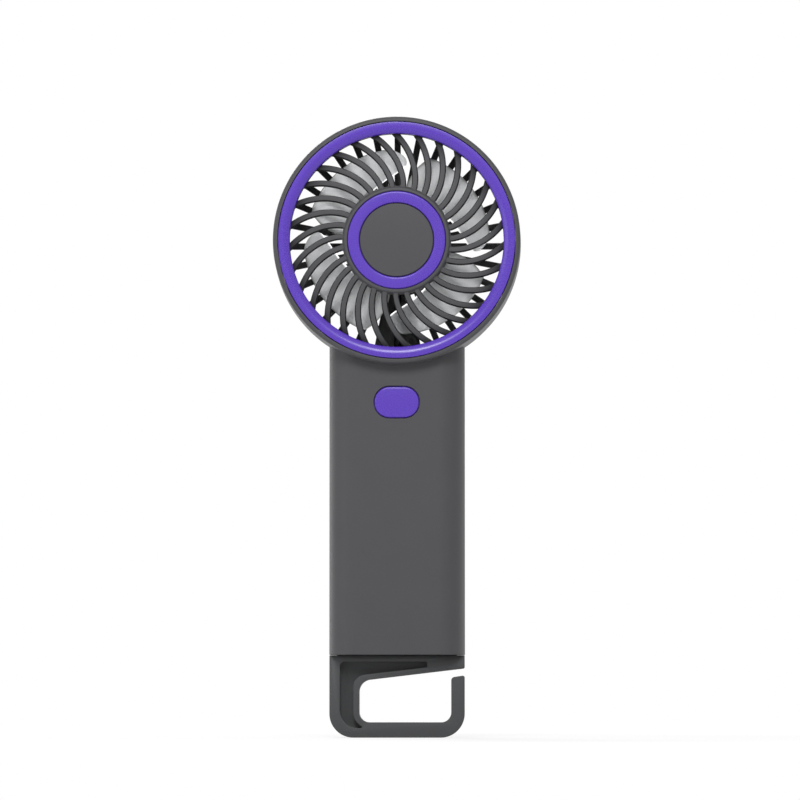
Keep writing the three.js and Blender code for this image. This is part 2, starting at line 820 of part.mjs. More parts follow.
function stator() {
  const bore = bearingTubeRadius + runningGap;
  const core = disc(statorRadius, statorFront, statorBack, hubSteps, bore);
  const slotStart = bore + statorCoreWall;
  const slotEnd = statorRadius - statorLipDepth;
  const halfSlot = (radius) => (Math.PI * radius) / statorSlots - statorToothWidth / 2;
  const outline = roundedOutline([
    [-halfSlot(slotStart), slotStart], [halfSlot(slotStart), slotStart],
    [halfSlot(slotEnd), slotEnd], [statorMouthWidth / 2, slotEnd],
    [statorMouthWidth / 2, statorRadius + overrun], [-statorMouthWidth / 2, statorRadius + overrun],
    [-statorMouthWidth / 2, slotEnd], [-halfSlot(slotEnd), slotEnd],
  ]);
  const slots = Array.from({ length: statorSlots }, (_, i) => {
    const geometry = new THREE.ExtrudeGeometry(outline, {
      depth: statorBack - statorFront + 2 * overrun, bevelEnabled: false,
    });
    geometry.rotateX(Math.PI / 2);
    geometry.translate(0, statorBack + overrun, 0);
    geometry.rotateY((2 * Math.PI / statorSlots) * i);
    return solidOf(geometry);
  });
  return cut(core, ...slots);
}

const motorScrewPlaces = Array.from({ length: motorScrews }, (_, i) => (
  clockPoint(motorScrewCircle, (360 / motorScrews) * i)
));

function motorBase() {
  const tubeFront = rotorFront + rotorWall + magnetInset;
  const body = spun([
    [motorShaftRadius + runningGap, tubeFront],
    [bearingTubeRadius, tubeFront],
    [bearingTubeRadius, motorBaseFront],
    [motorBaseRadius, motorBaseFront],
    [motorBaseRadius, motorBaseBack],
    [motorShaftRadius + runningGap, motorBaseBack],
  ], smallSteps);
  const holes = motorScrewPlaces.map(([x, z]) => (
    disc(screwRadius + threadGap, motorBaseFront - overrun, motorBaseBack + overrun, tinySteps, 0, x, z)
  ));
  return cut(body, ...holes);
}

function motorShaft() {
  const front = impellerFront + impellerHubFace / 2 + seatGap;
  return disc(motorShaftRadius, front, motorBaseBack, tinySteps);
}

// Rear grille
function rearGrille() {
  const ringFront = rearRibBack - rearRingDepth + rearRibDepth / 2;
  const ring = disc(rearRingOuter, ringFront, backFace - backLipDepth - seatGap, ringSteps, rearRingOuter - rearRingWall);
  const hub = spun([
    [0, motorBaseBack + seatGap],
    [rearSeatRadius, motorBaseBack + seatGap],
    [rearSeatRadius, rearHubBack - rearHubDepth],
    [rearHubRadius, rearHubBack - rearHubDepth],
    [rearHubRadius, rearHubBack],
    [0, rearHubBack],
  ], hubSteps);
  const ribs = [];
  for (let i = 0; i < rearRibs; i += 1) {
    const blank = new THREE.BoxGeometry(rearRibWidth, rearRibDepth, rearRingOuter - rearHubRadius + overrun);
    blank.translate(0, (rearRibFront + rearRibBack) / 2, (rearRingOuter - rearRingWall / 2 + rearHubRadius - overrun) / 2);
    blank.rotateY((2 * Math.PI / rearRibs) * i);
    ribs.push(solidOf(blank));
  }
  const halfAngle = 360 / rearRibs;
  const near = clockPoint(rearHubRadius - overrun, 180 - halfAngle);
  const far = clockPoint(rearRingOuter - rearRingWall / 2, 180 - halfAngle);
  const arm = alongY(roundedOutline([
    [-near[0], near[1]], [near[0], near[1]], [far[0], far[1]], [-far[0], far[1]],
  ]), rearHubBack - armDepth, rearHubBack);
  const grooveTop = -rearSeatRadius - fitGap;
  const grooveBottom = -drumBore - overrun;
  const groove = alongY(
    boxOutline(leadGrooveWidth, grooveTop - grooveBottom, 0, 0, (grooveTop + grooveBottom) / 2),
    motorBaseBack, rearHubBack - armDepth + leadGrooveDepth,
  );
  const holes = motorScrewPlaces.flatMap(([x, z]) => [
    disc(screwRadius + fitGap, motorBaseBack, rearHubBack + overrun, tinySteps, 0, x, z),
    disc(screwHeadRadius + fitGap, rearHubBack - screwSinkDepth, rearHubBack + overrun, tinySteps, 0, x, z),
  ]);
  return cut(join(ring, hub, ...ribs, arm), groove, ...holes);
}

// Hook cap
function hookCap() {
  const half = handleWidth / 2 - hookSideInset;
  const top = handleBottom - hookSeam;
  const innerLeft = -half + hookSpine;
  const innerRight = half - hookTipBar;
  const slopeLeft = top - hookBandLeft;
  const slopeRight = top - hookBandRight;
  const tip = slopeRight - hookMouth;
  const plate = alongY(roundedOutline([
    [-half, top],
    [-half, 0, hookCornerRadius],
    [half, 0, hookCornerRadius],
    [half, tip, hookTipSlant],
    [innerRight, tip - hookTipSlant, hookTipCorner],
    [innerRight, hookFootBar, hookInnerCorner],
    [innerLeft, hookFootBar, hookInnerCorner],
    [innerLeft, slopeLeft, hookTopCorner],
    [half, slopeRight],
    [half, top],
  ]), -hookDepth / 2, hookDepth / 2);
  const slope = (slopeRight - slopeLeft) / (half - innerLeft);
  const pocketLeft = -half + pocketSideWall;
  const pocketInner = innerLeft - pocketInnerWall;
  const pocketEnd = half - pocketRightWall;
  const pocketEdge = (x) => slopeLeft + pocketInnerWall + slope * (x - innerLeft);
  const turn = THREE.MathUtils.degToRad(pocketTailTurn);
  const tailCorner = hookInnerCorner + pocketInnerWall;
  const tailTop = hookFootBar + hookInnerCorner - tailCorner * Math.tan(turn / 2);
  const tailEnd = pocketInner + (tailTop - pocketFoot) * Math.tan(turn);
  const pocket = alongY(roundedOutline([
    [pocketLeft, top - pocketTopWall, pocketCorner],
    [pocketLeft, pocketFoot, pocketFootCorner],
    [tailEnd, pocketFoot, pocketTailTip],
    [pocketInner, tailTop, tailCorner],
    [pocketInner, pocketEdge(pocketInner), hookTopCorner],
    [pocketEnd, pocketEdge(pocketEnd), pocketCorner / 2],
    [pocketEnd, top - pocketTopWall, pocketCorner / 2],
  ]), -hookDepth / 2 - overrun, -hookDepth / 2 + pocketDepth);
  const plug = alongZ(
    boxOutline(innerWidth - 2 * fitGap, innerDepth - 2 * fitGap, innerCorner - fitGap),
    top - overrun, handleBottom + plugHeight,
  );
  const plugTrim = cut(
    alongZ(boxOutline(handleWidth, handleDepth), top - 2 * overrun, handleBottom),
    alongY(boxOutline(handleWidth + overrun, 4 * overrun, 0, 0, handleBottom), -hookDepth / 2, hookDepth / 2),
  );
  const screwHoles = hookScrewPlaces.map(([x, z]) => (
    disc(screwRadius + threadGap, innerBack - shortScrewLength, innerBack + overrun, tinySteps, 0, x, z)
  ));
  return cut(join(cut(plate, pocket), cut(plug, plugTrim)), ...screwHoles);
}

// Button, board, switch, socket, battery
function powerButton() {
  const body = alongY(
    boxOutline(buttonWidth, buttonHeight, buttonCornerRadius, 0, buttonRise),
    frontFace - buttonProud, innerFront + buttonFlangeThickness,
  );
  const flange = alongY(
    boxOutline(
      buttonWidth + 2 * buttonFlange, buttonHeight + 2 * buttonFlange,
      buttonCornerRadius + buttonFlange, 0, buttonRise,
    ),
    innerFront + seatGap, innerFront + buttonFlangeThickness,
  );
  const stemEnd = innerFront + buttonFlangeThickness + buttonStemLength;
  const stem = disc(buttonStemRadius, innerFront, stemEnd, tinySteps, 0, 0, buttonRise);
  return join(body, flange, stem);
}

function mainBoard() {
  const board = alongY(
    boxOutline(boardWidth, boardHeight, boardCornerRadius, 0, boardBottom + boardHeight / 2),
    boardFront, boardBack,
  );
  const holes = boardScrewPlaces.map(([x, z]) => (
    disc(screwRadius + threadGap, boardFront - overrun, boardBack + overrun, tinySteps, 0, x, z)
  ));
  return cut(board, ...holes);
}

function buttonSwitch() {
  const back = boardFront - seatGap;
  const body = alongY(boxOutline(switchSize, switchSize, seatGap * 2, 0, buttonRise), back - switchDepth, back, 1);
  return join(
    body,
    disc(plungerRadius, back - switchDepth - plungerDepth, back, tinySteps, 0, 0, buttonRise),
  );
}

function chargingSocket() {
  const end = handleWidth / 2 - socketInset;
  const middle = boardBack + seatGap + socketHeight / 2;
  const shell = alongX(boxOutline(socketHeight, socketWidth, socketHeight / 3, middle, socketRise), end - socketLength, end, 2);
  const mouth = alongX(
    boxOutline(
      socketHeight - 2 * socketWall, socketWidth - 2 * socketWall, socketHeight / 3 - socketWall / 2,
      middle, socketRise,
    ),
    end - socketLength + socketBack, end + overrun, 2,
  );
  const tongue = alongX(
    boxOutline(tongueThickness, tongueWidth, 0, middle, socketRise),
    end - socketLength + socketBack / 2, end - socketBack, 1,
  );
  return join(cut(shell, mouth), tongue);
}

function battery() {
  const front = innerFront + fitGap;
  return alongZ(
    boxOutline(batteryWidth, batteryDepth, batteryEdge, 0, front + batteryDepth / 2),
    batteryBottom, batteryTop, 2,
  );
}

// Gears
function gearOutline(teeth, module, tipUp) {
  const pitch = module * teeth / 2;
  const base = pitch * Math.cos(THREE.MathUtils.degToRad(pressureAngle));
  const tip = pitch + addendumShare * module;
  const root = pitch - dedendumShare * module;
  const involute = (radius) => {
    const angle = radius > base ? Math.acos(base / radius) : 0;
    return Math.tan(angle) - angle;
  };
  const halfTooth = (radius) => (
    Math.PI / (2 * teeth) - backlash / (2 * pitch) + involute(pitch) - involute(radius)
  );
  const radii = base > root ? [root, base, pitch, tip] : [root, tip];
  const shape = new THREE.Shape();
  for (let i = 0; i < teeth; i += 1) {
    const middle = tipUp + (2 * Math.PI / teeth) * i;
    const flanks = [
      ...radii.map((radius) => [radius, middle - halfTooth(radius)]),
      ...[...radii].reverse().map((radius) => [radius, middle + halfTooth(radius)]),
    ];
    flanks.forEach(([radius, angle], k) => {
      const point = [radius * Math.cos(angle), radius * Math.sin(angle)];
      if (i === 0 && k === 0) shape.moveTo(...point);
      else shape.lineTo(...point);
    });
  }
  shape.closePath();
  return shape;
}

function crankGear() {
  const hubFront = crankGearFront - crankGearHubLength;
  return cut(
    join(
      alongY(gearOutline(crankTeeth, coarseModule, -Math.PI / 2), crankGearFront, crankGearBack),
      disc(crankGearHubRadius, hubFront, crankGearFront + crankGearWidth / 2, smallSteps),
    ),
    disc(crankShaftRadius + seatGap, hubFront - overrun, crankGearBack + overrun, smallSteps),
  );
}

function compoundGear() {
  return cut(
    join(
      alongY(gearOutline(largeTeeth, fineModule, -Math.PI / 2), largeGearFront, largeGearBack),
      alongY(
        gearOutline(smallTeeth, coarseModule, Math.PI / 2 + Math.PI / smallTeeth),
        largeGearBack - largeGearWidth / 2, crankGearBack,
      ),
    ),
    disc(axleRadius + runningGap, largeGearFront - overrun, crankGearBack + overrun, tinySteps),
  );
}

function dynamoPinion() {
  return cut(
    alongY(
      gearOutline(dynamoTeeth, fineModule, Math.PI / 2 + Math.PI / dynamoTeeth),
      plateBack + fitGap, plateBack + fitGap + dynamoPinionWidth,
    ),
    disc(dynamoShaftRadius + seatGap, plateFront, backFace, tinySteps),
  );
}

function gearPlate() {
  const blank = alongY(roundedOutline([
    [-plateFootWidth / 2, plateBottom, plateCorner], [plateFootWidth / 2, plateBottom, plateCorner],
    [plateWidth / 2, plateShoulder, plateCorner], [plateTopWidth / 2, plateTop, plateCorner],
    [-plateTopWidth / 2, plateTop, plateCorner], [-plateWidth / 2, plateShoulder, plateCorner],
  ]), plateFront, plateBack, 2);
  const hole = (radius, x, z, steps = tinySteps) => (
    disc(radius, plateFront - overrun, plateBack + overrun, steps, 0, x, z)
  );
  return cut(
    blank,
    hole(crankShaftRadius + runningGap, 0, crankAxisHeight, smallSteps),
    hole(axleRadius + seatGap, 0, compoundHeight),
    hole(dynamoShaftRadius * 2, 0, dynamoHeight),
    ...plateScrewPlaces.map(([x, z]) => hole(screwRadius + threadGap, x, z)),
    ...[-dynamoScrewX, dynamoScrewX].map((x) => hole(screwRadius + threadGap, x, dynamoHeight)),
  );
}

function dynamoCan() {
  const front = dynamoBack - dynamoLength;
  const back = dynamoBack - dynamoBellDepth - seatGap;
  const bore = dynamoShaftRadius + runningGap;
  return spun([
    [0, front], [dynamoRadius - dynamoEdge, front], [dynamoRadius, front + dynamoEdge],
    [dynamoRadius, back], [bore, back], [bore, front + dynamoFloor], [0, front + dynamoFloor],
  ], smallSteps);
}

function dynamoBell() {
  const front = dynamoBack - dynamoBellDepth;
  return cut(
    disc(dynamoRadius, front, dynamoBack, smallSteps, dynamoShaftRadius + runningGap),
    ...[-dynamoScrewX, dynamoScrewX].map((x) => (
      disc(screwRadius + threadGap, front - overrun, dynamoBack + overrun, tinySteps, 0, x, 0)
    )),
  );
}

function dynamoShaft() {
  return disc(
    dynamoShaftRadius, dynamoBack - dynamoLength + dynamoFloor + seatGap,
    plateBack + fitGap + dynamoPinionWidth, tinySteps,
  );
}

// Crank
function crankBush() {
  const bore = crankShaftRadius + runningGap;
  const outer = bore + bushWall;
  return spun([
    [bore, innerBack - bushInside], [outer, innerBack - bushInside],
    [outer, backFace + seatGap], [outer + bushFlange, backFace + seatGap],
    [outer + bushFlange, backFace + seatGap + bushFlangeThickness],
    [bore, backFace + seatGap + bushFlangeThickness],
  ], smallSteps);
}

function crankShaft() {
  const screwHole = crankScrewRadius + threadGap;
  const neckEnd = crankScrewSeat - seatGap;
  const holeEnd = crankScrewSeat - crankScrewLength - seatGap;
  return spun([
    [0, plateFront], [crankShaftRadius, plateFront], [crankShaftRadius, neckStart],
    [crankNeckRadius, neckStart], [crankNeckRadius, neckEnd], [screwHole, neckEnd],
    [screwHole, holeEnd], [0, holeEnd],
  ], smallSteps);
}

const slotTop = -crankRadius + gripStart + gripLength + slotHeadroom;
const slotFoot = -crankRadius - armSlotFoot;

function crankArm() {
  const outline = new THREE.Shape();
  outline.absarc(0, 0, armHubRadius, 0, Math.PI, false);
  outline.absarc(0, -crankRadius, armEndRadius, Math.PI, 2 * Math.PI, false);
  outline.closePath();
  const slot = alongY(
    boxOutline(armSlotWidth, slotTop - slotFoot, armSlotWidth / 4, 0, (slotTop + slotFoot) / 2),
    armFront - overrun, armBack + overrun,
  );
  const pinHole = alongX(
    new THREE.Shape().absarc(knobAxisY, -crankRadius, knobPinRadius + seatGap, 0, 2 * Math.PI, false),
    -armHubRadius, armHubRadius, pinSteps,
  );
  return cut(
    alongY(outline, armFront, armBack, 2 * cornerSteps),
    slot, pinHole,
    disc(crankNeckRadius + seatGap, armFront - overrun, armBack + overrun, smallSteps),
    disc(crankScrewHeadRadius + fitGap, crankScrewSeat - seatGap, armBack + overrun, smallSteps),
  );
}

function screwSolid(headRadius, headDepth, radius, length, driveRadius, driveDepth) {
  // The head's underside is at Y = 0 and the shank runs towards -Y.
  return cut(
    spun([
      [0, -length], [radius, -length], [radius, 0], [headRadius, 0],
      [headRadius, headDepth], [0, headDepth],
    ], tinySteps),
    alongY(boxOutline(2 * driveRadius, driveRadius / 2), headDepth - driveDepth, headDepth + overrun),
  );
}

const smallScrew = (length) => (
  screwSolid(screwHeadRadius, screwHeadDepth, screwRadius, length, screwDriveRadius, screwDriveDepth)
);

// Knob, drawn about its hinge pin and pointing up
function knobPost() {
  const barrelHalf = armSlotWidth / 2 - knobBarrelGap;
  const circle = new THREE.Shape().absarc(0, 0, knobBarrelRadius, 0, 2 * Math.PI, false);
  const pinCircle = new THREE.Shape().absarc(0, 0, knobPinRadius + seatGap, 0, 2 * Math.PI, false);
  const barrel = alongX(circle, -barrelHalf, barrelHalf, 2 * cornerSteps);
  const collarTop = gripStart - seatGap * 2;
  const postTop = gripStart + gripLength - gripSinkDepth - seatGap;
  const hole = knobScrewRadius + threadGap;
  const post = spunZ([
    [0, knobBarrelRadius / 2], [knobPostRadius, knobBarrelRadius / 2],
    [knobPostRadius, collarTop - knobCollarThickness], [knobCollarRadius, collarTop - knobCollarThickness],
    [knobCollarRadius, collarTop], [knobPostRadius, collarTop], [knobPostRadius, postTop],
    [hole, postTop], [hole, postTop - knobScrewLength - seatGap], [0, postTop - knobScrewLength - seatGap],
  ], smallSteps);
  return cut(join(barrel, post), alongX(pinCircle, -armHubRadius, armHubRadius, pinSteps));
}

function knobGrip() {
  const top = gripStart + gripLength;
  const bore = knobPostRadius + runningGap;
  const waist = (share) => gripRadius - gripWaist * Math.sin(Math.PI * share) ** 2;
  const side = [0, 1 / 6, 1 / 3, 1 / 2, 2 / 3, 5 / 6, 1].map((share) => [
    waist(share), gripStart + gripEdge + (gripLength - 2 * gripEdge) * share,
  ]);
  return spunZ([
    [bore, gripStart], [gripRadius - gripEdge, gripStart],
    ...side,
    [gripRadius - gripEdge, top], [gripSinkRadius, top],
    [gripSinkRadius, top - gripSinkDepth], [bore, top - gripSinkDepth],
  ], smallSteps);
}

function knobScrew() {
  const seat = gripStart + gripLength - gripSinkDepth;
  return spunZ([
    [0, seat - knobScrewLength], [knobScrewRadius, seat - knobScrewLength],
    [knobScrewRadius, seat + seatGap / 2], [knobScrewHeadRadius, seat + seatGap / 2],
    [knobScrewHeadRadius, seat + knobScrewHeadDepth / 2],
    [knobScrewHeadRadius - knobScrewHeadDepth / 2, seat + knobScrewHeadDepth],
    [0, seat + knobScrewHeadDepth],
  ], tinySteps);
}

function knobPin() {
  const half = armEndRadius - fitGap;
  return alongX(
    new THREE.Shape().absarc(0, 0, knobPinRadius, 0, 2 * Math.PI, false), -half, half, pinSteps,
  );
}

// Leads, as tubes along their routes
function lead(route, radius) {
  const section = new THREE.Shape().absarc(0, 0, radius, 0, 2 * Math.PI, false);
  const path = new THREE.CatmullRomCurve3(route.map((point) => new THREE.Vector3(...point)));
  return solidOf(new THREE.ExtrudeGeometry(section, {
    steps: leadSteps, curveSegments: leadSides, bevelEnabled: false, extrudePath: path,
  }));
}

const motorLeadRoute = [
  [0, 6.2, 155.2], [0, 7.8, 149.6], [0, 8.1, 144], [0, 8.1, 135], [0, 8.1, 127], [0, 8.1, 122.3],
  [1.5, 6, 118], [3, 1, 115.4], [3.2, -2, 113.9],
];
const dynamoLeadRoute = [
  [-6, -2.8, 56.5], [-8, -2.8, 62], [-10, -2.8, 73], [-10, -2.8, 91], [-8.5, -2.8, 101], [-7, -2.6, 107.6],
];
const batteryLeadRoute = [[7, -7.4, 100.1], [7, -7.35, 101.6], [6.7, -7.1, 103.6], [6, -7, 105.6]];

// The whole fan
const fan = new THREE.Group();
const blank = shellBlank();
fan.add(
  piece("front_shell", frontShell(blank), darkShell()),
  piece("rear_shell", rearShell(blank), darkShell()),
  piece("hook_cap", hookCap(), hookGrey()),
  piece("power_button", powerButton(), purple()),
  piece("main_board", mainBoard(), boardGreen()),
  piece("button_switch", buttonSwitch(), blackPlastic()),
  piece("charging_socket", chargingSocket(), steel()),
  piece("battery", battery(), silverPouch()),
  piece("gear_plate", gearPlate(), steel()),
  piece("motor_lead", lead(motorLeadRoute, motorLeadRadius), blackPlastic()),
  piece("dynamo_lead", lead(dynamoLeadRoute, smallLeadRadius), leadRed()),
  piece("battery_lead", lead(batteryLeadRoute, smallLeadRadius), leadRed()),
);

const head = new THREE.Group();
head.position.z = headHeight;
head.add(
  piece("outer_trim_ring", outerTrimRing(), purple()),
  piece("front_grille", frontGrille(), darkShell()),
  piece("hub_accent_ring", hubAccentRing(), purple()),
  piece("hub_cap", hubCap(), darkShell()),
  piece("impeller", impeller(), frosted()),
  piece("rotor_can", rotorCan(), steel()),
  piece("magnet_ring", magnetRing(), darkSteel()),
  piece("motor_shaft", motorShaft(), steel()),
  piece("stator", stator(), copper()),
  piece("motor_base", motorBase(), darkSteel()),
  piece("rear_grille", rearGrille(), blackPlastic()),
);
motorScrewPlaces.forEach(([x, z], i) => {
  const seat = rearHubBack - screwSinkDepth + seatGap;
  head.add(piece(`motor_screw_${i + 1}`, smallScrew(seat - motorBaseFront), darkSteel(), [x, seat, z]));
});
fan.add(head);

bossPlaces.forEach(([x, z], i) => {
  const seat = backFace - screwSinkDepth + seatGap;
  fan.add(piece(`shell_screw_${i + 1}`, smallScrew(shellScrewLength), darkSteel(), [x, seat, z]));
});
hookScrewPlaces.forEach(([x, z], i) => {
  const seat = backFace - screwSinkDepth + seatGap;
  fan.add(piece(`hook_screw_${i + 1}`, smallScrew(shortScrewLength), darkSteel(), [x, seat, z]));
});
boardScrewPlaces.forEach(([x, z], i) => {
  const seat = boardBack + seatGap;
  fan.add(piece(`board_screw_${i + 1}`, smallScrew(shortScrewLength), steel(), [x, seat, z]));
});
plateScrewPlaces.forEach(([x, z], i) => {
  const screw = piece(`plate_screw_${i + 1}`, smallScrew(shortScrewLength), steel(), [x, plateFront - seatGap, z]);
  screw.rotation.z = Math.PI;
  fan.add(screw);
});
[-dynamoScrewX, dynamoScrewX].forEach((x, i) => {
  const length = plateThickness + dynamoBellDepth;
  fan.add(piece(`dynamo_screw_${i + 1}`, smallScrew(length), steel(), [x, plateBack + seatGap, dynamoHeight]));
});

const dynamo = new THREE.Group();
dynamo.position.z = dynamoHeight;
dynamo.add(
  piece("dynamo_can", dynamoCan(), steel()),
  piece("dynamo_bell", dynamoBell(), blackPlastic()),
  piece("dynamo_shaft", dynamoShaft(), steel()),
  piece("dynamo_pinion", dynamoPinion(), brass()),
);
const compound = new THREE.Group();
compound.position.z = compoundHeight;
compound.add(
  piece("compound_gear", compoundGear(), whitePlastic()),
  piece("compound_axle", disc(axleRadius, plateFront, innerBack + handleWall / 4, tinySteps), steel()),
);
const crank = new THREE.Group();
crank.position.z = crankAxisHeight;
crank.add(
  piece("crank_gear", crankGear(), whitePlastic()),
  piece("crank_shaft", crankShaft(), steel()),
  piece("crank_bush", crankBush(), blackPlastic()),
  piece("crank_arm", crankArm(), darkShell()),
  piece("crank_screw", screwSolid(
    crankScrewHeadRadius, crankScrewHeadDepth, crankScrewRadius, crankScrewLength,
    screwHeadRadius * addendumShare, screwDriveDepth,
  ), darkSteel(), [0, crankScrewSeat, 0]),
);
const knob = new THREE.Group();
knob.position.set(0, knobAxisY, -crankRadius);
knob.add(
  piece("knob_post", knobPost(), steel()),
  piece("knob_pin", knobPin(), steel()),
  piece("knob_grip", knobGrip(), purple()),
  piece("knob_screw", knobScrew(), darkSteel()),
);
crank.add(knob);
fan.add(dynamo, compound, crank);

export default fan;
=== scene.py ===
import json
from math import atan, pi, radians
import bmesh
import bpy
import numpy as np
from mathutils import Matrix, Vector


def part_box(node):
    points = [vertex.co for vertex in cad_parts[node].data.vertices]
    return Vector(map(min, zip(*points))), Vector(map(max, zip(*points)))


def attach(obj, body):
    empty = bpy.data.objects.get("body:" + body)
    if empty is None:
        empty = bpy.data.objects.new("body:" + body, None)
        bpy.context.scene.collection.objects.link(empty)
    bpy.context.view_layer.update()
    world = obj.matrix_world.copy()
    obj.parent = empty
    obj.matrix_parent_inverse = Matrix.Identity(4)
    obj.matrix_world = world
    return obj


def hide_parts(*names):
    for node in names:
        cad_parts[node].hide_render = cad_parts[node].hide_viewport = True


# A hand crank pocket fan: round head, slim handle, open hook, crank folded flat on the back.
# Sizes are in millimetres; X runs to the right, the front faces -Y, Z runs up.

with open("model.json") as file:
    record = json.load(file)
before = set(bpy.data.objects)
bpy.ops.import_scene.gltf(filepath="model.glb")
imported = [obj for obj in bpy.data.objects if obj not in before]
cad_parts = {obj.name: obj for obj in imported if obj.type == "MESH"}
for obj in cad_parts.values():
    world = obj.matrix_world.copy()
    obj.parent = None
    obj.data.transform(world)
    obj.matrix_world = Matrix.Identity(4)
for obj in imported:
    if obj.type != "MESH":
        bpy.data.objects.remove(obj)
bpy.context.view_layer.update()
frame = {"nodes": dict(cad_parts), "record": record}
cad = frame["nodes"]
mm = 0.001
print("frame loaded:", len(cad), "pieces")


def boxOf(node):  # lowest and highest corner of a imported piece
    low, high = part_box(node)
    return np.round(np.array(low) / mm, 3), np.round(np.array(high) / mm, 3)


def middleOf(node):
    low, high = boxOf(node)
    return np.round((low + high) / 2, 3)


def placed(name, data):  # a new object in the scene
    obj = bpy.data.objects.new(name, data)
    bpy.context.scene.collection.objects.link(obj)
    return obj


headCentre = middleOf("outer_trim_ring") * (1, 0, 1)
shellLow, rearHigh = boxOf("front_shell")[0], boxOf("rear_shell")[1]
rimFront, handleBottom, backFace = shellLow[1], shellLow[2], rearHigh[1]
over = 1.0  # how far a cutter runs on past what it cuts
near = 0.01  # points closer than this to a face lie on it
merge, sliver = 0.0005, 0.0001  # closer points become one, and smaller faces go
crisp, soft = 35, 40  # edges sharper than this many degrees show: on small hard pieces, and on the rest


class Nodes:  # a node tree, with short calls to add and join nodes
    def __init__(self, tree):
        self.tree = tree

    def node(self, kind, settings=None, **inputs):
        new = self.tree.nodes.new("ShaderNode" + kind)
        for key, value in (settings or {}).items():
            setattr(new, key, value)
        for key, value in inputs.items():
            self.feed(value, new, key.replace("_", " "))
        return new

    def feed(self, value, node, socket):
        target = node.inputs[socket]
        if isinstance(value, bpy.types.NodeSocket):
            self.tree.links.new(value, target)
        else:
            target.default_value = value

    def pair(self, kind, first, second, operation):
        node = self.node(kind, {"operation": operation})
        self.feed(first, node, 0)
        self.feed(second, node, 1)
        return node.outputs[0]

    def span(self, value, low, high, fromLow=0.3, fromHigh=0.7):
        names = {"From_Min": fromLow, "From_Max": fromHigh, "To_Min": low, "To_Max": high}
        return self.node("MapRange", Value=value, **names).outputs["Result"]

    def seenStraight(self):  # 1 where the camera, a mirror image or clear plastic looks at it, else 0
        path = self.node("LightPath").outputs
        either = self.pair("Math", path["Is Camera Ray"], path["Is Glossy Ray"], "MAXIMUM")
        return self.pair("Math", either, path["Is Transmission Ray"], "MAXIMUM")


# Camera: far off, low and turned up a little
view = dict(
    place=(25.0, -1757.5, 12.56), focal=5237.8, frame=800, sensor=36.0, right=-71.8, up=300.0,
    near=0.05, far=40.0,
)


def makeCamera():
    # The lens is focal / frame times the sensor; the two turns are atan(right / focal) and atan(up / focal).
    data = bpy.data.cameras.new("camera")
    data.sensor_width = view["sensor"]
    data.lens = view["sensor"] * view["focal"] / view["frame"]
    data.clip_start, data.clip_end = view["near"], view["far"]
    yaw, pitch = atan(view["right"] / view["focal"]), atan(view["up"] / view["focal"])
    forward = Vector((np.sin(yaw) * np.cos(pitch), np.cos(yaw) * np.cos(pitch), np.sin(pitch)))
    right = Vector((np.cos(yaw), -np.sin(yaw), 0))
    turn = Matrix((right, right.cross(forward), -forward)).transposed()
    camera = placed("camera", data)
    camera.matrix_world = Matrix.Translation(Vector(view["place"]) * mm) @ turn.to_4x4()
    bpy.context.scene.camera = camera


lamps = dict(
    key=dict(place=(-45, -935, 775), aim=(0, 0, 130), size=480, power=5.25),
    left=dict(place=(-900, -620, 260), aim=(0, 0, 110), size=700, power=1.2),
    rim=dict(place=(-760, 700, 220), aim=(0, 0, 110), size=500, power=0.85),
    low=dict(place=(330, 200, 20), aim=(30, 0, 140), size=160, power=0.065),
    lowLeft=dict(place=(-330, 200, 20), aim=(-30, 0, 140), size=160, power=0.04),
    back=dict(place=(-300, 900, 700), aim=(0, 0, 120), size=700, power=5.0),
)


def makeLamps():
    for name, lamp in lamps.items():
        data = bpy.data.lights.new(name, "AREA")
        data.shape = "DISK"
        data.size = lamp["size"] * mm
        data.energy = lamp["power"]
        obj = placed(name, data)
        place, aim = Vector(lamp["place"]) * mm, Vector(lamp["aim"]) * mm
        turn = (aim - place).to_track_quat("-Z", "Y").to_matrix().to_4x4()
        obj.matrix_world = Matrix.Translation(place) @ turn
        obj.visible_camera = False


surround = dict(
    ambient=0.25, backdrop=1.0, floorSize=12000, floorGrey=0.8,
    shadow=0.5, nearGlow=1.43, shadowNear=150, shadowFar=700,
)


def makeWorld():
    world = bpy.data.worlds.new("surround")
    world.use_nodes = True
    bpy.context.scene.world = world
    nodes = Nodes(world.node_tree)
    background = nodes.tree.nodes["Background"]
    nodes.feed((1, 1, 1, 1), background, "Color")
    strength = nodes.span(nodes.seenStraight(), surround["ambient"], surround["backdrop"], 0, 1)
    nodes.feed(strength, background, "Strength")


def makeFloor():
    half = surround["floorSize"] / 2 * mm
    corners = [(-half, -half, 0), (half, -half, 0), (half, half, 0), (-half, half, 0)]
    mesh = bpy.data.meshes.new("floor")
    mesh.from_pydata(corners, [], [(0, 1, 2, 3)])
    material = bpy.data.materials.new("paleFloor")
    material.use_nodes = True
    nodes = Nodes(material.node_tree)
    nodes.tree.nodes.clear()
    # Seen straight, the floor glows white; near the object lit paper takes a share and shows its shadow
    place = nodes.node("TexCoord").outputs["Object"]
    away = nodes.node("VectorMath", {"operation": "LENGTH"}, Vector=place).outputs["Value"]
    reach = surround["shadowNear"] * mm, surround["shadowFar"] * mm
    glow = nodes.node("Emission", Strength=nodes.span(away, surround["nearGlow"], 1, *reach))
    paper = nodes.node("BsdfDiffuse", Color=(*[surround["floorGrey"]] * 3, 1))
    share = nodes.span(away, 1 - surround["shadow"], 1, *reach)
    blend = nodes.node("MixShader", Fac=nodes.pair("Math", nodes.seenStraight(), share, "MULTIPLY"))
    nodes.feed(paper.outputs[0], blend, 1)
    nodes.feed(glow.outputs[0], blend, 2)
    nodes.node("OutputMaterial", Surface=blend.outputs[0])
    mesh.materials.append(material)
    placed("floor", mesh)


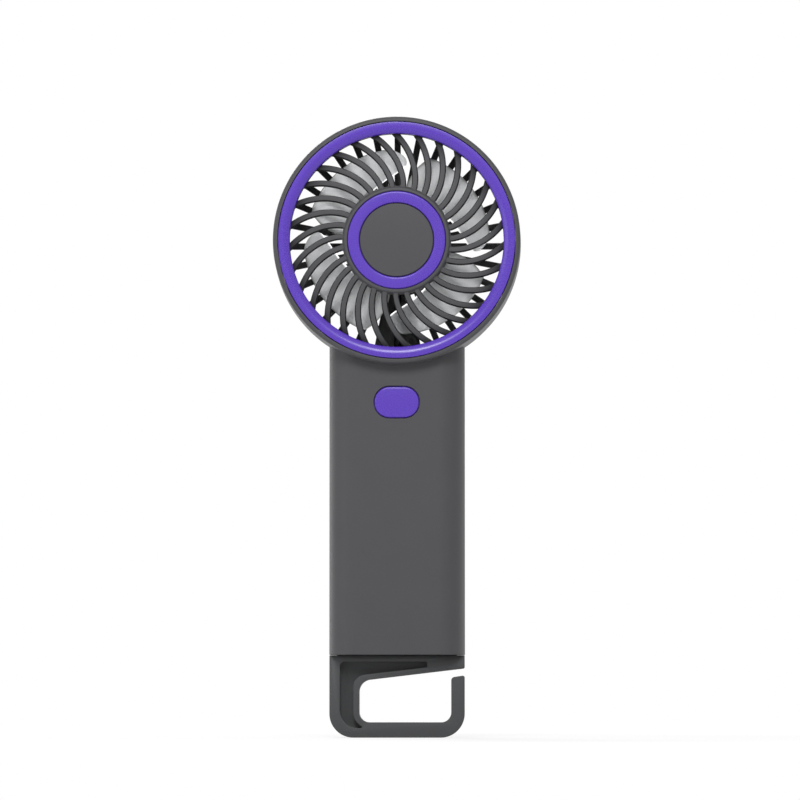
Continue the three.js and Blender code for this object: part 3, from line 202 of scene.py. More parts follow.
makeCamera()
makeLamps()
makeWorld()
makeFloor()
bpy.context.scene.view_settings.view_transform = "Standard"
print("camera, lamps and floor done")


# Finishes
class Finish(Nodes):  # a material built up in front of its Principled shader
    def __init__(self, name):
        self.material = bpy.data.materials.new(name)
        self.material.use_nodes = True
        super().__init__(self.material.node_tree)
        self.surface = self.tree.nodes["Principled BSDF"]

    def noise(self, size, detail=2.0, stretch=(1, 1, 1), offset=0.0):
        # Noise on the piece's own coordinates, with a grain of the given size in millimetres
        place = self.node("TexCoord").outputs["Object"]
        mapping = self.node("Mapping", Vector=place, Scale=stretch, Location=(offset,) * 3).outputs[0]
        return self.node("TexNoise", Vector=mapping, Scale=1 / (size * mm), Detail=detail).outputs["Fac"]

    def attribute(self, name):
        return self.node("Attribute", {"attribute_name": name}).outputs["Fac"]

    def layer(self, factor, below, above):
        mix = self.node("Mix", {"data_type": "RGBA"})
        for value, socket in ((factor, 0), (below, 6), (above, 7)):
            self.feed(value, mix, socket)
        return mix.outputs[2]

    def tones(self, value, colour, low, high):  # the colour times low to high, as the value rises
        return self.layer(value, scaled(colour, low), scaled(colour, high))

    def rough(self, value, look):  # the look's roughness, swinging by roughVary as the value rises
        return self.span(value, look["rough"] - look["roughVary"], look["rough"] + look["roughVary"])

    def bump(self, height, depth):
        node = self.node("Bump", Height=height, Distance=depth * mm, Strength=1.0)
        self.feed(node.outputs["Normal"], self.surface, "Normal")

    def set(self, **inputs):
        for key, value in inputs.items():
            self.feed(value, self.surface, key.replace("_", " "))
        return self.material


def scaled(colour, factor):
    return (*(channel * factor for channel in colour), 1)


def moulded(name, look):
    # Plastic from a spark-eroded mould: slow patches of tone, fine speckle, and the same grain raised.
    # With a dark share it carries painted shade: darker and duller where the piece's painted-shade attribute
    # is 1.
    finish = Finish(name)
    slow, fine = finish.noise(look["patch"], 1.0), finish.noise(look["grain"], 3.0, offset=0.37)
    patches = finish.tones(finish.span(slow, 0, 1), look["colour"], 1 - look["vary"], 1 + look["vary"])
    speckle = finish.tones(finish.span(fine, 0, 1), look["colour"], 1 - look["speckle"], 1 + look["speckle"])
    colour = finish.layer(0.5, patches, speckle)
    rough = finish.rough(fine, look)
    if "dark" in look:
        shade = finish.attribute("shade")
        colour = finish.layer(shade, colour, scaled(look["colour"], look["dark"]))
        rough = finish.layer(shade, rough, (*[look["dull"]] * 3, 1))
    finish.bump(fine, look["depth"])
    return finish.set(Base_Color=colour, Roughness=rough, Specular_IOR_Level=look["gloss"])


def plated(name, look):
    # Metal with fine marks drawn out along one way, and slow stains
    finish = Finish(name)
    marks = finish.noise(look["grain"], 3.0, look["stretch"])
    stains = finish.span(finish.noise(look["patch"], 2.0, offset=0.61), 0, 1)
    finish.bump(marks, look["depth"])
    colour = finish.tones(stains, look["colour"], look["stained"], look["clean"])
    return finish.set(Base_Color=colour, Roughness=finish.rough(marks, look), Metallic=1.0)


def frosted(name, look):
    # Clear plastic with a frosted skin: light passes and scatters in the grain. The blades' rims get a
    # painted dark outline for light bent at their edges, and their trailing edges let nothing through and get
    # a painted glow.
    finish = Finish(name)
    noise = finish.noise(look["grain"], 3.0)
    fine = finish.span(noise, 0, 1)
    rim, edge = finish.attribute("rim"), finish.attribute("edge")
    body = finish.tones(fine, look["colour"], *look["bodyTones"])
    dark = finish.tones(fine, look["paintedRimColour"], *look["paintedRimTones"])
    paintedGlint = finish.tones(fine, look["paintedGlintColour"], *look["paintedGlintTones"])
    finish.bump(noise, look["depth"])
    return finish.set(
        Base_Color=finish.layer(edge, finish.layer(rim, body, dark), paintedGlint), IOR=look["ior"],
        Roughness=finish.rough(noise, look),
        # Painted glow: the trailing edges give white light of their own
        Emission_Color=(1, 1, 1, 1), Emission_Strength=finish.span(edge, 0, look["paintedGlowStrength"], 0, 1),
        Transmission_Weight=finish.span(edge, look["clear"], look["edgeClear"], 0, 1),
    )


def board(name, look):
    # Green solder resist over copper tracks that run along and across
    finish = Finish(name)
    place = finish.node("TexCoord").outputs["Object"]
    upright = finish.node("Mapping", Vector=place, Rotation=(pi / 2, 0, 0)).outputs[0]
    tracks = finish.node(
        "TexBrick", {"offset": 0.5}, Vector=upright, Scale=1 / (look["pitch"] * mm), Mortar_Size=look["gap"],
        Color1=scaled(look["colour"], 1), Color2=scaled(look["colour"], look["second"]),
        Mortar=scaled(look["track"], 1),
    )
    finish.bump(tracks.outputs["Fac"], look["depth"])
    return finish.set(Base_Color=tracks.outputs["Color"], Roughness=look["rough"])


def wound(name, look):
    # Varnished copper coils round a laminated core: thin bands stacked along Y
    finish = Finish(name)
    place, pitch = finish.node("TexCoord").outputs["Object"], look["pitch"] * mm
    along = {"bands_direction": "Y"}
    bands = finish.node("TexWave", along, Vector=place, Scale=1 / pitch, Distortion=look["waver"])
    finish.bump(bands.outputs["Fac"], look["depth"])
    colour = finish.tones(bands.outputs["Fac"], look["colour"], *look["tones"])
    return finish.set(Base_Color=colour, Roughness=look["rough"], Metallic=1.0)


def foil(name, look):
    # A metal skin with soft creases across
    finish = Finish(name)
    creases = finish.noise(look["crease"], 2.0, look["stretch"])
    finish.bump(creases, look["depth"])
    colour = finish.tones(finish.span(creases, 0, 1), look["colour"], *look["tones"])
    return finish.set(Base_Color=colour, Roughness=look["rough"], Metallic=look["metal"])


def plastic(*colour, **changes):
    usual = dict(
        gloss=0.5, patch=14, grain=0.28, depth=0.006, rough=0.45, roughVary=0.05, vary=0.03, speckle=0.06,
    )
    return moulded, usual | changes | dict(colour=colour)


def metal(*colour, **changes):
    usual = dict(
        grain=0.3, depth=0.002, rough=0.3, roughVary=0.08, patch=6, stained=0.86, clean=1.06,
        stretch=(1, 0.12, 1),
    )
    return plated, usual | changes | dict(colour=colour)


sleeve = dict(grain=0.2, depth=0.003, rough=0.42, roughVary=0.04, vary=0.04, speckle=0.03)
looks = {
    "dark_shell": plastic(0.107, 0.107, 0.113, gloss=0.22),
    "hook_grey": plastic(0.093, 0.095, 0.098, gloss=0.25),
    "purple_accent": plastic(
        0.105, 0.026, 0.60, gloss=0.75, grain=0.22, depth=0.001, rough=0.27, roughVary=0.03, vary=0.02,
        speckle=0.03,
    ),
    "black_plastic": plastic(0.010, 0.010, 0.011, grain=0.3, rough=0.5, vary=0.05, speckle=0.1),
    "gear_plastic": plastic(0.76, 0.74, 0.68, grain=0.25, depth=0.003, rough=0.4, vary=0.02, speckle=0.02),
    # The blades carry a painted dark outline at the tips and leading edges and a painted glow on the trailing
    # edges
    "frosted_blade": (frosted, dict(
        colour=(0.92, 0.93, 0.94), paintedRimColour=(0.06, 0.06, 0.062), paintedGlintColour=(1, 1, 1), grain=0.3, depth=0.02,
        rough=0.48, roughVary=0.05, ior=1.3, clear=0.7, edgeClear=0.1, paintedGlowStrength=1.0,
        bodyTones=(0.94, 1.04), paintedRimTones=(1, 1.2), paintedGlintTones=(1, 0.97),
    )),
    "board_green": (board, dict(
        colour=(0.015, 0.09, 0.04), track=(0.06, 0.2, 0.08), second=0.85, pitch=3.2, gap=0.06, depth=0.02,
        rough=0.32,
    )),
    "pouch_foil": (foil, dict(
        colour=(0.5, 0.52, 0.54), tones=(0.9, 1.05), crease=5, stretch=(1, 1, 0.4), depth=0.12, rough=0.36,
        metal=0.85,
    )),
    "lead_sleeve": plastic(0.3, 0.02, 0.015, **sleeve),
    "black_lead": plastic(0.012, 0.012, 0.012, **sleeve),
    "bright_steel": metal(0.56, 0.57, 0.58),
    "dark_steel": metal(0.1, 0.105, 0.11, rough=0.38, stretch=(1, 1, 1)),
    "brass": metal(0.62, 0.42, 0.15),
    "copper": (wound, dict(
        colour=(0.45, 0.15, 0.06), tones=(1, 0.55), pitch=0.5, waver=0.6, depth=0.03, rough=0.3,
    )),
}
finishes = {slot: make(slot, look) for slot, (make, look) in looks.items()}
# The grille's finish carries painted shade on the ribs' sides and on their ends near the frame
finishes["grille"] = moulded("grille", looks["dark_shell"][1] | dict(dark=0.12, dull=0.85))
# The hook's finish carries painted shade on the pocket's floor
finishes["hookPaintedShade"] = moulded("hookPaintedShade", looks["hook_grey"][1] | dict(dark=0.82, dull=0.6))
slotOf = {part["node"]: part["material_slot"] for part in frame["record"]["subparts"]}
for node, obj in cad.items():
    obj.data.materials.clear()
    obj.data.materials.append(finishes[slotOf[node]])
print("finishes done:", len(finishes))


# Shapes
def roundedPath(corners, steps=8):
    # Straight from corner to corner; at a corner with a radius, an arc tangent to both sides takes its place.
    rows = np.array([(*corner, 0.0)[:3] for corner in corners], float)
    xy, radius = rows[:, :2], rows[:, 2]
    back, ahead = np.roll(xy, 1, 0) - xy, np.roll(xy, -1, 0) - xy
    back /= np.linalg.norm(back, axis=1)[:, None]
    ahead /= np.linalg.norm(ahead, axis=1)[:, None]
    half = np.arccos(np.clip((back * ahead).sum(1), -1, 1)) / 2
    reach = radius / np.tan(np.maximum(half, 1e-6))
    start, end = xy + back * reach[:, None], xy + ahead * reach[:, None]
    inward = back + ahead
    inward /= np.maximum(np.linalg.norm(inward, axis=1), 1e-9)[:, None]
    centre = xy + inward * (radius / np.sin(half))[:, None]
    first = np.arctan2(*(start - centre).T[::-1])
    sweep = (np.arctan2(*(end - centre).T[::-1]) - first + pi) % (2 * pi) - pi
    angle = first[:, None] + sweep[:, None] * np.linspace(0, 1, steps + 1)
    arcs = centre[:, None, :] + radius[:, None, None] * np.stack([np.cos(angle), np.sin(angle)], -1)
    points = np.where(radius[:, None, None] > 0, arcs, xy[:, None, :]).reshape(-1, 2)
    apart = np.linalg.norm(points - np.roll(points, 1, 0), axis=1) > 1e-6
    return points[apart]


def boxPath(width, height, radius, centre=(0, 0), steps=12):
    (x, y), w, h = centre, width / 2, height / 2
    sides = ((-w, -h), (w, -h), (w, h), (-w, h))
    return roundedPath([(x + across, y + up, radius) for across, up in sides], steps)


def gridFaces(rows, columns, wrapRows, wrapColumns):
    # Quads over a grid of points that is numbered row by row
    r = np.arange(rows if wrapRows else rows - 1)[:, None]
    c = np.arange(columns if wrapColumns else columns - 1)[None, :]
    nextR, nextC = (r + 1) % rows, (c + 1) % columns
    quads = np.stack([r * columns + c, r * columns + nextC, nextR * columns + nextC, nextR * columns + c], -1)
    return quads.reshape(-1, 4).tolist()


def tubeFaces(rows, columns):
    # Quads from loop to loop, with a flat face over the first loop and the last
    last = (rows - 1) * columns
    return gridFaces(rows, columns, False, True) + [list(range(columns)), list(range(last, last + columns))]


def alongAxis(axis, a, b, along):
    # Points in x, y, z order, with a and b across the axis
    return np.stack({"y": (a, along, b), "z": (a, b, along), "x": (along, a, b)}[axis], -1)


def makePiece(name, parts):
    # parts: (points, faces) pairs, each one closed surface; doubles are merged and faces turned outwards.
    points, faces, count = [], [], 0
    for place, corners in parts:
        place = np.asarray(place, float).reshape(-1, 3)
        points.append(place)
        faces += [[corner + count for corner in face] for face in corners]
        count += len(place)
    mesh = bpy.data.meshes.new(name)
    mesh.from_pydata((np.concatenate(points) * mm).tolist(), [], faces)
    shape = bmesh.new()
    shape.from_mesh(mesh)
    bmesh.ops.remove_doubles(shape, verts=shape.verts, dist=merge * mm)
    bmesh.ops.dissolve_degenerate(shape, edges=shape.edges, dist=sliver * mm)
    bmesh.ops.delete(shape, geom=[edge for edge in shape.edges if not edge.link_faces], context="EDGES")
    bmesh.ops.recalc_face_normals(shape, faces=shape.faces)
    shape.to_mesh(mesh)
    shape.free()
    return placed(name, mesh)


def turned(profile, centre=(0, 0, 0), axis="y", steps=192):
    # A closed profile of (radius, height) carried round an axis: (r sin a, h, r cos a)
    radius, height = np.asarray(profile, float).T
    angle = np.linspace(0, 2 * pi, steps, endpoint=False)[:, None]
    points = alongAxis(axis, radius * np.sin(angle), radius * np.cos(angle), height + 0 * angle)
    return points + centre, gridFaces(steps, len(radius), True, True)


def extruded(outline, low, high, axis="y"):
    # A flat outline carried straight along an axis, with a flat face at each end
    a, b = np.asarray(outline, float).T
    points = [alongAxis(axis, a, b, np.full(len(a), level)) for level in (low, high)]
    return np.concatenate(points), tubeFaces(2, len(a))


def pillow(width, height, corner, rings, axis="y", centre=(0, 0), least=0.02):
    # Rings of one rounded outline, each drawn in by its inset and set at its own height, closed at both ends
    loops = np.array([
        boxPath(width - 2 * inset, height - 2 * inset, max(corner - inset, least), centre)
        for inset, level in rings
    ])
    levels = np.array([level for inset, level in rings])[:, None]
    points = alongAxis(axis, loops[..., 0], loops[..., 1], levels + 0 * loops[..., 0])
    return points, tubeFaces(*loops.shape[:2])


def rod(radius, low, high, centre=(0, 0, 0), axis="y", steps=48):
    return turned([(0, low), (radius, low), (radius, high), (0, high)], centre, axis, steps)


def screwSeat(x, z, hole, low, sink, floor, high):
    # A through hole with a wider, flat-bottomed sink for the screw's head, as one cutter
    profile = [(0, low), (hole, low), (hole, floor), (sink, floor), (sink, high), (0, high)]
    return turned(profile, (x, 0, z), steps=48)


def carried(line, side, section, depth):
    # A section stood square to a line of (x, z) round the head's centre: its first measure runs along the
    # side direction at each point, and the depth along Y is given for each of its corners
    plane = line[:, None, :] + side * section[None, :, 0, None]
    points = np.stack([plane[..., 0], depth + 0 * plane[..., 0], plane[..., 1]], -1)
    return points + headCentre, tubeFaces(len(line), len(section))


def placesOf(obj):  # every vertex's place in millimetres
    places = np.zeros(len(obj.data.vertices) * 3)
    obj.data.vertices.foreach_get("co", places)
    return places.reshape(-1, 3) / mm


def mark(obj, name, amount):  # an attribute of the vertices, for the finish to read
    obj.data.attributes.new(name, "FLOAT", "POINT").data.foreach_set("value", amount.astype(np.float32))


def dress(obj, body, slot, *replaced, angle=soft, finish=None):
    obj.data.shade_smooth()
    obj.data.set_sharp_from_angle(angle=radians(angle))
    obj.data.materials.clear()
    obj.data.materials.append(finishes[finish or slot])
    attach(obj, body)
    if replaced:
        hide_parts(*replaced)
    return obj


def settled(obj):  # modifiers applied, so that the mesh holds the shape
    graph = bpy.context.evaluated_depsgraph_get()
    mesh = bpy.data.meshes.new_from_object(obj.evaluated_get(graph))
    obj.modifiers.clear()
    obj.data = mesh
    return obj


def bevelled(obj, width, segments, limit):
    bevel = obj.modifiers.new("edges", "BEVEL")
    bevel.width = width * mm
    bevel.segments = segments
    bevel.limit_method = limit
    return bevel


def eased(obj, width, segments=3):
    # Every edge that would show on a soft piece is rounded by the width
    bevelled(obj, width, segments, "ANGLE").angle_limit = radians(soft)
    shaded(obj)
    return settled(obj)


def easedWhere(obj, test, width):
    # Rounds only the sharp edges whose two ends pass the test
    mesh = obj.data
    mesh.set_sharp_from_angle(angle=radians(crisp))
    count = len(mesh.edges)
    sharp, ends = np.zeros(count, bool), np.zeros(count * 2, np.int32)
    mesh.attributes["sharp_edge"].data.foreach_get("value", sharp)
    mesh.edges.foreach_get("vertices", ends)
    places = placesOf(obj)[ends.reshape(-1, 2)]
    chosen = sharp & test(places[:, 0]) & test(places[:, 1])
    weight = mesh.attributes.new("bevel_weight_edge", "FLOAT", "EDGE")
    weight.data.foreach_set("value", chosen.astype(np.float32))
    bevelled(obj, width, 3, "WEIGHT")
    return settled(obj)


def shaded(obj):  # large faces decide how the edges between them are shaded
    obj.modifiers.new("shading", "WEIGHTED_NORMAL").keep_sharp = True
    return obj


def combine(obj, parts, operation="DIFFERENCE"):
    # Cuts the closed parts out of the piece, or joins or overlaps them, one after another
    tools = [makePiece("tool", [part]) for part in parts]
    for tool in tools:
        step = obj.modifiers.new("combine", "BOOLEAN")
        step.operation = operation
        step.solver = "MANIFOLD"
        step.object = tool
    settled(obj)
    for tool in tools:
        bpy.data.objects.remove(tool)
    return obj


def joined(name, objects):
    # Several closed surfaces kept as one piece
    mesh = bpy.data.meshes.new(name)
    shape = bmesh.new()
    for obj in objects:
        shape.from_mesh(obj.data)
        bpy.data.objects.remove(obj)
    shape.to_mesh(mesh)
    shape.free()
    return placed(name, mesh)


# Shells
shell = dict(
    width=45.4, depth=25.0, corner=9.0, wall=2.0, rimEdge=1.2, rimRadius=41.3, swell=0.3, taper=0.6,
    backEdge=1.3, bore=39.8, lipBore=39.1, lipDepth=1.2, lipEdge=0.25, partingEdge=0.22, steps=288,
    bossRadius=3.3, sinkRadius=2.3, sinkDepth=1.6, holeRadius=1.2, bushHole=5.25, bushDepth=4.0, play=0.3,
    thread=1.0, threadDepth=8.5, leadSlot=(2.5, 2.7), leadY=8.0, portDepth=3.0, smoothUpTo=32,
)
button = dict(
    width=14.8, height=10.3, corner=4.95, gap=0.3, flange=1.2, crown=0.12, edge=0.55, stem=1.6,
    lift=0.1, middle=0.05,
)
headZ = headCentre[2]
frontFace, parting = -shell["depth"] / 2, 0.0  # the halves meet here, with only a groove left outside
innerWidth, innerDepth = shell["width"] - 2 * shell["wall"], shell["depth"] - 2 * shell["wall"]
buttonLow, buttonHigh = boxOf("power_button")
buttonPlace = (0.0, (buttonLow[2] + buttonHigh[2]) / 2)
socketLow, socketHigh = boxOf("charging_socket")
socketPlace, socketSize = ((socketLow + socketHigh) / 2)[1:], (socketHigh - socketLow)[1:]
bushLow, bushHigh = boxOf("crank_bush")
crankZ = (bushLow[2] + bushHigh[2]) / 2
screwPlaces = [middleOf(f"shell_screw_{i}")[[0, 2]] for i in range(1, 5)]
hookScrewPlaces = [middleOf(f"hook_screw_{i}")[[0, 2]] for i in range(1, 3)]


def drumHalf(side):
    # One half of the head's wall as a closed profile of (radius, y), split at the parting line
    rim, bore, lip, edge = shell["rimRadius"], shell["bore"], shell["lipBore"], shell["partingEdge"]
    middle, step = rim + shell["swell"], backFace - shell["lipDepth"]
    if side < 0:
        return roundedPath([
            (bore, rimFront), (rim, rimFront, shell["rimEdge"]), (middle, parting, edge), (bore, parting),
        ])
    return roundedPath([
        (bore, -parting), (middle, -parting, edge), (middle - shell["taper"], backFace, shell["backEdge"]),
        (lip, backFace, shell["lipEdge"]), (lip, step), (bore, step),
    ])


def handleHalf(side):
    # One half of the handle's rounded section as a channel of (x, y), open towards the other half
    half, deep, radius = shell["width"] / 2, shell["depth"] / 2 * side, shell["corner"]
    inHalf, inDeep, inRadius = innerWidth / 2, innerDepth / 2 * side, radius - shell["wall"]
    gap, edge = -parting * side, shell["partingEdge"]
    return roundedPath([
        (-half, gap, edge), (-half, deep, radius), (half, deep, radius), (half, gap, edge),
        (inHalf, gap), (inHalf, inDeep, inRadius), (-inHalf, inDeep, inRadius), (-inHalf, gap),
    ], 16)


def shellHalf(name, side):
    # The channel ends inside the head's wall, along a circle at the middle of its thickness
    middle, centre = (shell["bore"] + shell["rimRadius"]) / 2, (0, 0, headZ)
    obj = makePiece(name, [extruded(handleHalf(side), handleBottom, headZ, "z")])
    combine(obj, [rod(middle, rimFront - over, backFace + over, centre, steps=shell["steps"])])
    combine(obj, [turned(drumHalf(side), centre, steps=shell["steps"])], "UNION")
    span = sorted((-parting * side, (innerDepth + shell["wall"]) / 2 * side))
    return combine(obj, [rod(shell["bossRadius"], *span, (x, 0, z)) for x, z in screwPlaces], "UNION")


def nearBottom(place):
    return np.abs(place[:, 2] - handleBottom) < near


def nearButton(place):
    x, y, z = place.T
    inside = (np.abs(x) < button["width"]) & (np.abs(z - buttonPlace[1]) < button["height"])
    return (np.abs(y - frontFace) < near) & inside


def makeFrontShell():
    obj = shellHalf("frontShell", -1)
    gap, play, corner = button["gap"], 2 * shell["play"], button["corner"]
    hole = boxPath(button["width"] + 2 * gap, button["height"] + 2 * gap, corner + gap, buttonPlace, 16)
    port = boxPath(socketSize[0] + play, socketSize[1] + play, socketSize[0] / 2, socketPlace)
    combine(obj, [
        extruded(hole, frontFace - over, frontFace + shell["wall"] + over),
        extruded(port, innerWidth / 2 - shell["portDepth"], shell["width"] / 2 + over, "x"),
        *[rod(shell["thread"], -shell["threadDepth"], over, (x, 0, z)) for x, z in screwPlaces],
    ])
    obj = easedWhere(obj, lambda place: nearBottom(place) | nearButton(place), shell["partingEdge"])
    return dress(shaded(obj), "housing", "dark_shell", "front_shell", angle=shell["smoothUpTo"])


def makeRearShell():
    obj = shellHalf("rearShell", 1)
    floor = backFace - shell["sinkDepth"]
    # A slot through the head's wall lets the motor's lead down into the handle
    slot = boxPath(*shell["leadSlot"], shell["play"], (0, shell["leadY"]), 4)
    wallFoot = headZ - shell["rimRadius"] - shell["swell"]
    combine(obj, [
        rod(shell["bushHole"], backFace - shell["bushDepth"], backFace + over, (0, 0, crankZ), steps=96),
        *[screwSeat(x, z, shell["holeRadius"], -over, shell["sinkRadius"], floor, backFace + over)
          for x, z in screwPlaces + hookScrewPlaces],
        extruded(slot, wallFoot - over, headZ - shell["bore"] + over, "z"),
    ])
    obj = easedWhere(obj, nearBottom, shell["partingEdge"])
    return dress(shaded(obj), "housing", "dark_shell", "rear_shell", angle=shell["smoothUpTo"])


makeFrontShell()
makeRearShell()
print("shells done")


# Rings, grille and cap at the front of the head
trim = dict(
    inner=35.7, outer=39.6, crest=0.1, crestShare=0.68, shoulder=1.2, outerFall=0.08, power=2.2, lip=0.25,
    depth=2.3, steps=33,
)
grille = dict(
    ribs=31, width=2.2, depth=2.2, draft=0.32, edge=0.18, hubAngle=41.7, sweep=18.8, power=1.4, rise=1.5,
    inHub=1.0, inFrame=0.8, steps=40, probe=0.02, gap=0.1, frameDepth=2.6, hub=18.2, hubDepth=3.9,
    hubEdge=0.3,
    chamfer=(0.715, 1.56), chamferEdges=(0.9, 0.8), recess=1.6, recessRadius=16.5, recessEdge=0.2,
    # Painted shade on the ribs: where it starts and how deep it gets, and which normals count as sides
    shadeStart=27.0, shade=0.85, shadeClear=0.4,
    sideFrom=-0.86, sideSpan=0.3,
)
accent = dict(inner=12.45, outer=16.35, edge=0.6)
cap = dict(edge=0.35, gap=0.2, stem=2.0, stemEdge=0.3)
accentLow, accentHigh = boxOf("hub_accent_ring")
frameBack = boxOf("outer_trim_ring")[1][1] + grille["gap"] + grille["frameDepth"]


def makeTrimRing():
    # From the crest, at a share of the way across, the front falls back as a power of the way to either edge
    front, inner, outer = rimFront + trim["crest"], trim["inner"], trim["outer"]
    t, crest = np.linspace(0, 1, trim["steps"])[1:-1], trim["crestShare"]
    away = np.where(t < crest, (crest - t) / crest, (t - crest) / (1 - crest))
    fall = np.where(t < crest, trim["shoulder"], trim["outerFall"]) * away ** trim["power"]
    back = front + trim["depth"]
    profile = np.concatenate([
        [(inner, front + trim["shoulder"] + trim["lip"])],
        np.stack([inner + (outer - inner) * t, front + fall], -1),
        [(outer, front + trim["outerFall"] + trim["lip"]), (outer, back), (inner, back)],
    ])
    obj = makePiece("outerTrimRing", [turned(profile, headCentre, steps=shell["steps"])])
    return dress(obj, "housing", "purple_accent", "outer_trim_ring")


def clockPoint(radius, degrees):  # degrees clockwise from the top
    angle = np.radians(degrees)
    return radius * np.sin(angle), radius * np.cos(angle)


def frontRibs():
    # Each rib's middle line turns back by sweep * s^power, s running from the hub to the frame;
    # a section with draft on its sides rides on it, square to the line.
    radius = np.linspace(grille["hub"] - grille["inHub"], trim["inner"] + grille["inFrame"], grille["steps"])
    reach = trim["inner"] - grille["hub"]

    def line(radii, turn):
        s = np.maximum(radii - grille["hub"], 0) / reach
        back = grille["sweep"] * s ** grille["power"]
        return np.stack(clockPoint(radii, grille["hubAngle"] - back + turn), -1)

    wide, deep, edge = grille["width"] / 2, grille["depth"] / 2, grille["edge"]
    narrow = wide - grille["draft"]
    corners = (-narrow, -deep), (narrow, -deep), (wide, deep), (-wide, deep)
    section = roundedPath([(*corner, edge) for corner in corners], 4)
    s = np.clip((radius - grille["hub"]) / reach, 0, 1)
    depth = (frameBack - grille["rise"] * (1 - s) - deep)[:, None] + section[None, :, 1]
    parts = []
    for k in range(grille["ribs"]):
        turn = 360 / grille["ribs"] * k
        along = line(radius + grille["probe"], turn) - line(radius - grille["probe"], turn)
        along /= np.linalg.norm(along, axis=1)[:, None]
        side = np.stack([-along[:, 1], along[:, 0]], -1)[:, None, :]
        parts.append(carried(line(radius, turn), side, section, depth))
    return parts


def makeFrontGrille():
    front, radius, edge = boxOf("front_grille")[0][1], grille["hub"], grille["hubEdge"]
    floor, back = front + grille["recess"], front + grille["hubDepth"]
    recess, recessEdge = grille["recessRadius"], grille["recessEdge"]
    chamfer, slopes = grille["chamfer"], grille["chamferEdges"]
    hub = roundedPath([
        (0, floor), (recess, floor, recessEdge), (recess, front, recessEdge),
        (radius - chamfer[0], front, slopes[0]), (radius, front + chamfer[1], slopes[1]),
        (radius, back, edge), (0, back),
    ])
    inner, outer, ringFront = trim["inner"], trim["outer"], frameBack - grille["frameDepth"]
    ring = [(inner, ringFront), (outer, ringFront), (outer, frameBack), (inner, frameBack, edge)]
    frameRing = turned(roundedPath(ring, 4), headCentre, steps=shell["steps"])
    obj = makePiece("frontGrille", [turned(hub, headCentre), frameRing, *frontRibs()])
    paintRibShade(obj)
    return dress(obj, "housing", "dark_shell", "front_grille", finish="grille")


def paintRibShade(obj):
    # Painted shade, from 0 to 1: it rises where the surface turns from the front to the ribs' sides and
    # backs, by the normal's Y, for their shaded sides. On their fronts it rises to its full share at the
    # frame, as the square of the way there, for the trim ring's shadow.
    normals = np.zeros(len(obj.data.vertices) * 3)
    obj.data.vertices.foreach_get("normal", normals)
    x, z = (placesOf(obj) - headCentre)[:, ::2].T
    radius = np.hypot(x, z)
    side = np.clip((normals[1::3] - grille["sideFrom"]) / grille["sideSpan"], 0, 1)
    shadow = np.clip((radius - grille["shadeStart"]) / (trim["inner"] - grille["shadeStart"]), 0, 1) ** 2
    onRib = radius > grille["hub"] + grille["shadeClear"]
    mark(obj, "shade", np.where(onRib, np.maximum(side, shadow * grille["shade"]), 0))


def makeAccentRing():
    front, back, inner, outer = accentLow[1], accentHigh[1], accent["inner"], accent["outer"]
    edge = accent["edge"]
    profile = roundedPath([(inner, front, edge), (outer, front, edge), (outer, back), (inner, back)])
    obj = makePiece("hubAccentRing", [turned(profile, headCentre)])
    return dress(obj, "housing", "purple_accent", "hub_accent_ring")


def makeHubCap():
    low, high = boxOf("hub_cap")
    front, back, end = low[1], accentHigh[1], high[1]
    radius, stem = accent["inner"] - cap["gap"], cap["stem"]
    profile = roundedPath([
        (0, front), (radius, front, cap["edge"]), (radius, back), (stem, back), (stem, end, cap["stemEdge"]),
        (0, end),
    ])
    return dress(makePiece("hubCap", [turned(profile, headCentre)]), "housing", "dark_shell", "hub_cap")


makeTrimRing()
makeFrontGrille()
makeAccentRing()
makeHubCap()
print("front of the head done")


# Impeller
impeller = dict(
    blades=4, hub=15.5, wall=1.5, face=1.6, crownEdge=1.5, cupEdge=0.2, tip=31.2, thick=1.2, frontDrop=2.2,
    backProud=0.2, leadHub=7.5, leadTip=21.0, trailTip=86.0, trailReach=97.0, reachShare=0.72, edgePower=16,
    # The rim and edge widths and the edge reach size the blades' painted dark outline and painted glow
    tipPower=40, stepsRound=72, stepsOut=48, rimWidth=0.45, glintWidth=0.5, glintReach=0.66,
    leadMargin=2, markClear=0.2,
)
impellerLow, impellerHigh = boxOf("impeller")
hubFront, hubBack = impellerLow[1], impellerHigh[1] - impeller["backProud"] - impeller["thick"] / 2
bladeRoot = impeller["hub"] - impeller["wall"] / 2
bladeReach = impeller["tip"] - bladeRoot


def bladeEdges(v):
    # With v from 0 at the hub to 1 at the tip, the leading edge lies at leadHub + (leadTip - leadHub) v^2 and
    # the trailing edge at trailReach - curl (v - reachShare)^2 degrees; the last value is the second's slope.
    curl = (impeller["trailReach"] - impeller["trailTip"]) / (1 - impeller["reachShare"]) ** 2
    lead = impeller["leadHub"] + (impeller["leadTip"] - impeller["leadHub"]) * v ** 2
    trail = impeller["trailReach"] - curl * (v - impeller["reachShare"]) ** 2
    return lead, trail, 2 * curl * (impeller["reachShare"] - v)


def blade(turn):
    # u runs from the leading to the trailing edge. The skin stands off the middle surface by thick / 2
    # times (1 - |2u - 1|^edgePower)^(1/2) times (1 - v^tipPower)^(1/2).
    rows, columns = impeller["stepsRound"], impeller["stepsOut"]
    u, v = (1 - np.cos(np.linspace(0, pi, rows))) / 2, np.sin(np.linspace(0, pi / 2, columns))
    u, v = np.meshgrid(u, v, indexing="ij")
    lead, trail = bladeEdges(v)[:2]
    x, z = clockPoint(bladeRoot + bladeReach * v, lead + (trail - lead) * u + turn)
    front = hubFront + impeller["frontDrop"]
    y = front + (hubBack + impeller["backProud"] - front) * (1 - u)
    swell = impeller["thick"] / 2 * np.sqrt(1 - np.abs(2 * u - 1) ** impeller["edgePower"])
    swell *= np.sqrt(np.maximum(1 - v ** impeller["tipPower"], 0))
    points = np.stack([np.stack([x, y + sign * swell, z], -1) + headCentre for sign in (-1, 1)])
    skin, count = np.array(gridFaces(rows, columns, False, False)), rows * columns
    first = np.arange(rows - 1) * columns
    root = np.stack([first, first + columns, first + columns + count, first + count], -1)
    return points, np.concatenate([skin, skin + count, root]).tolist()


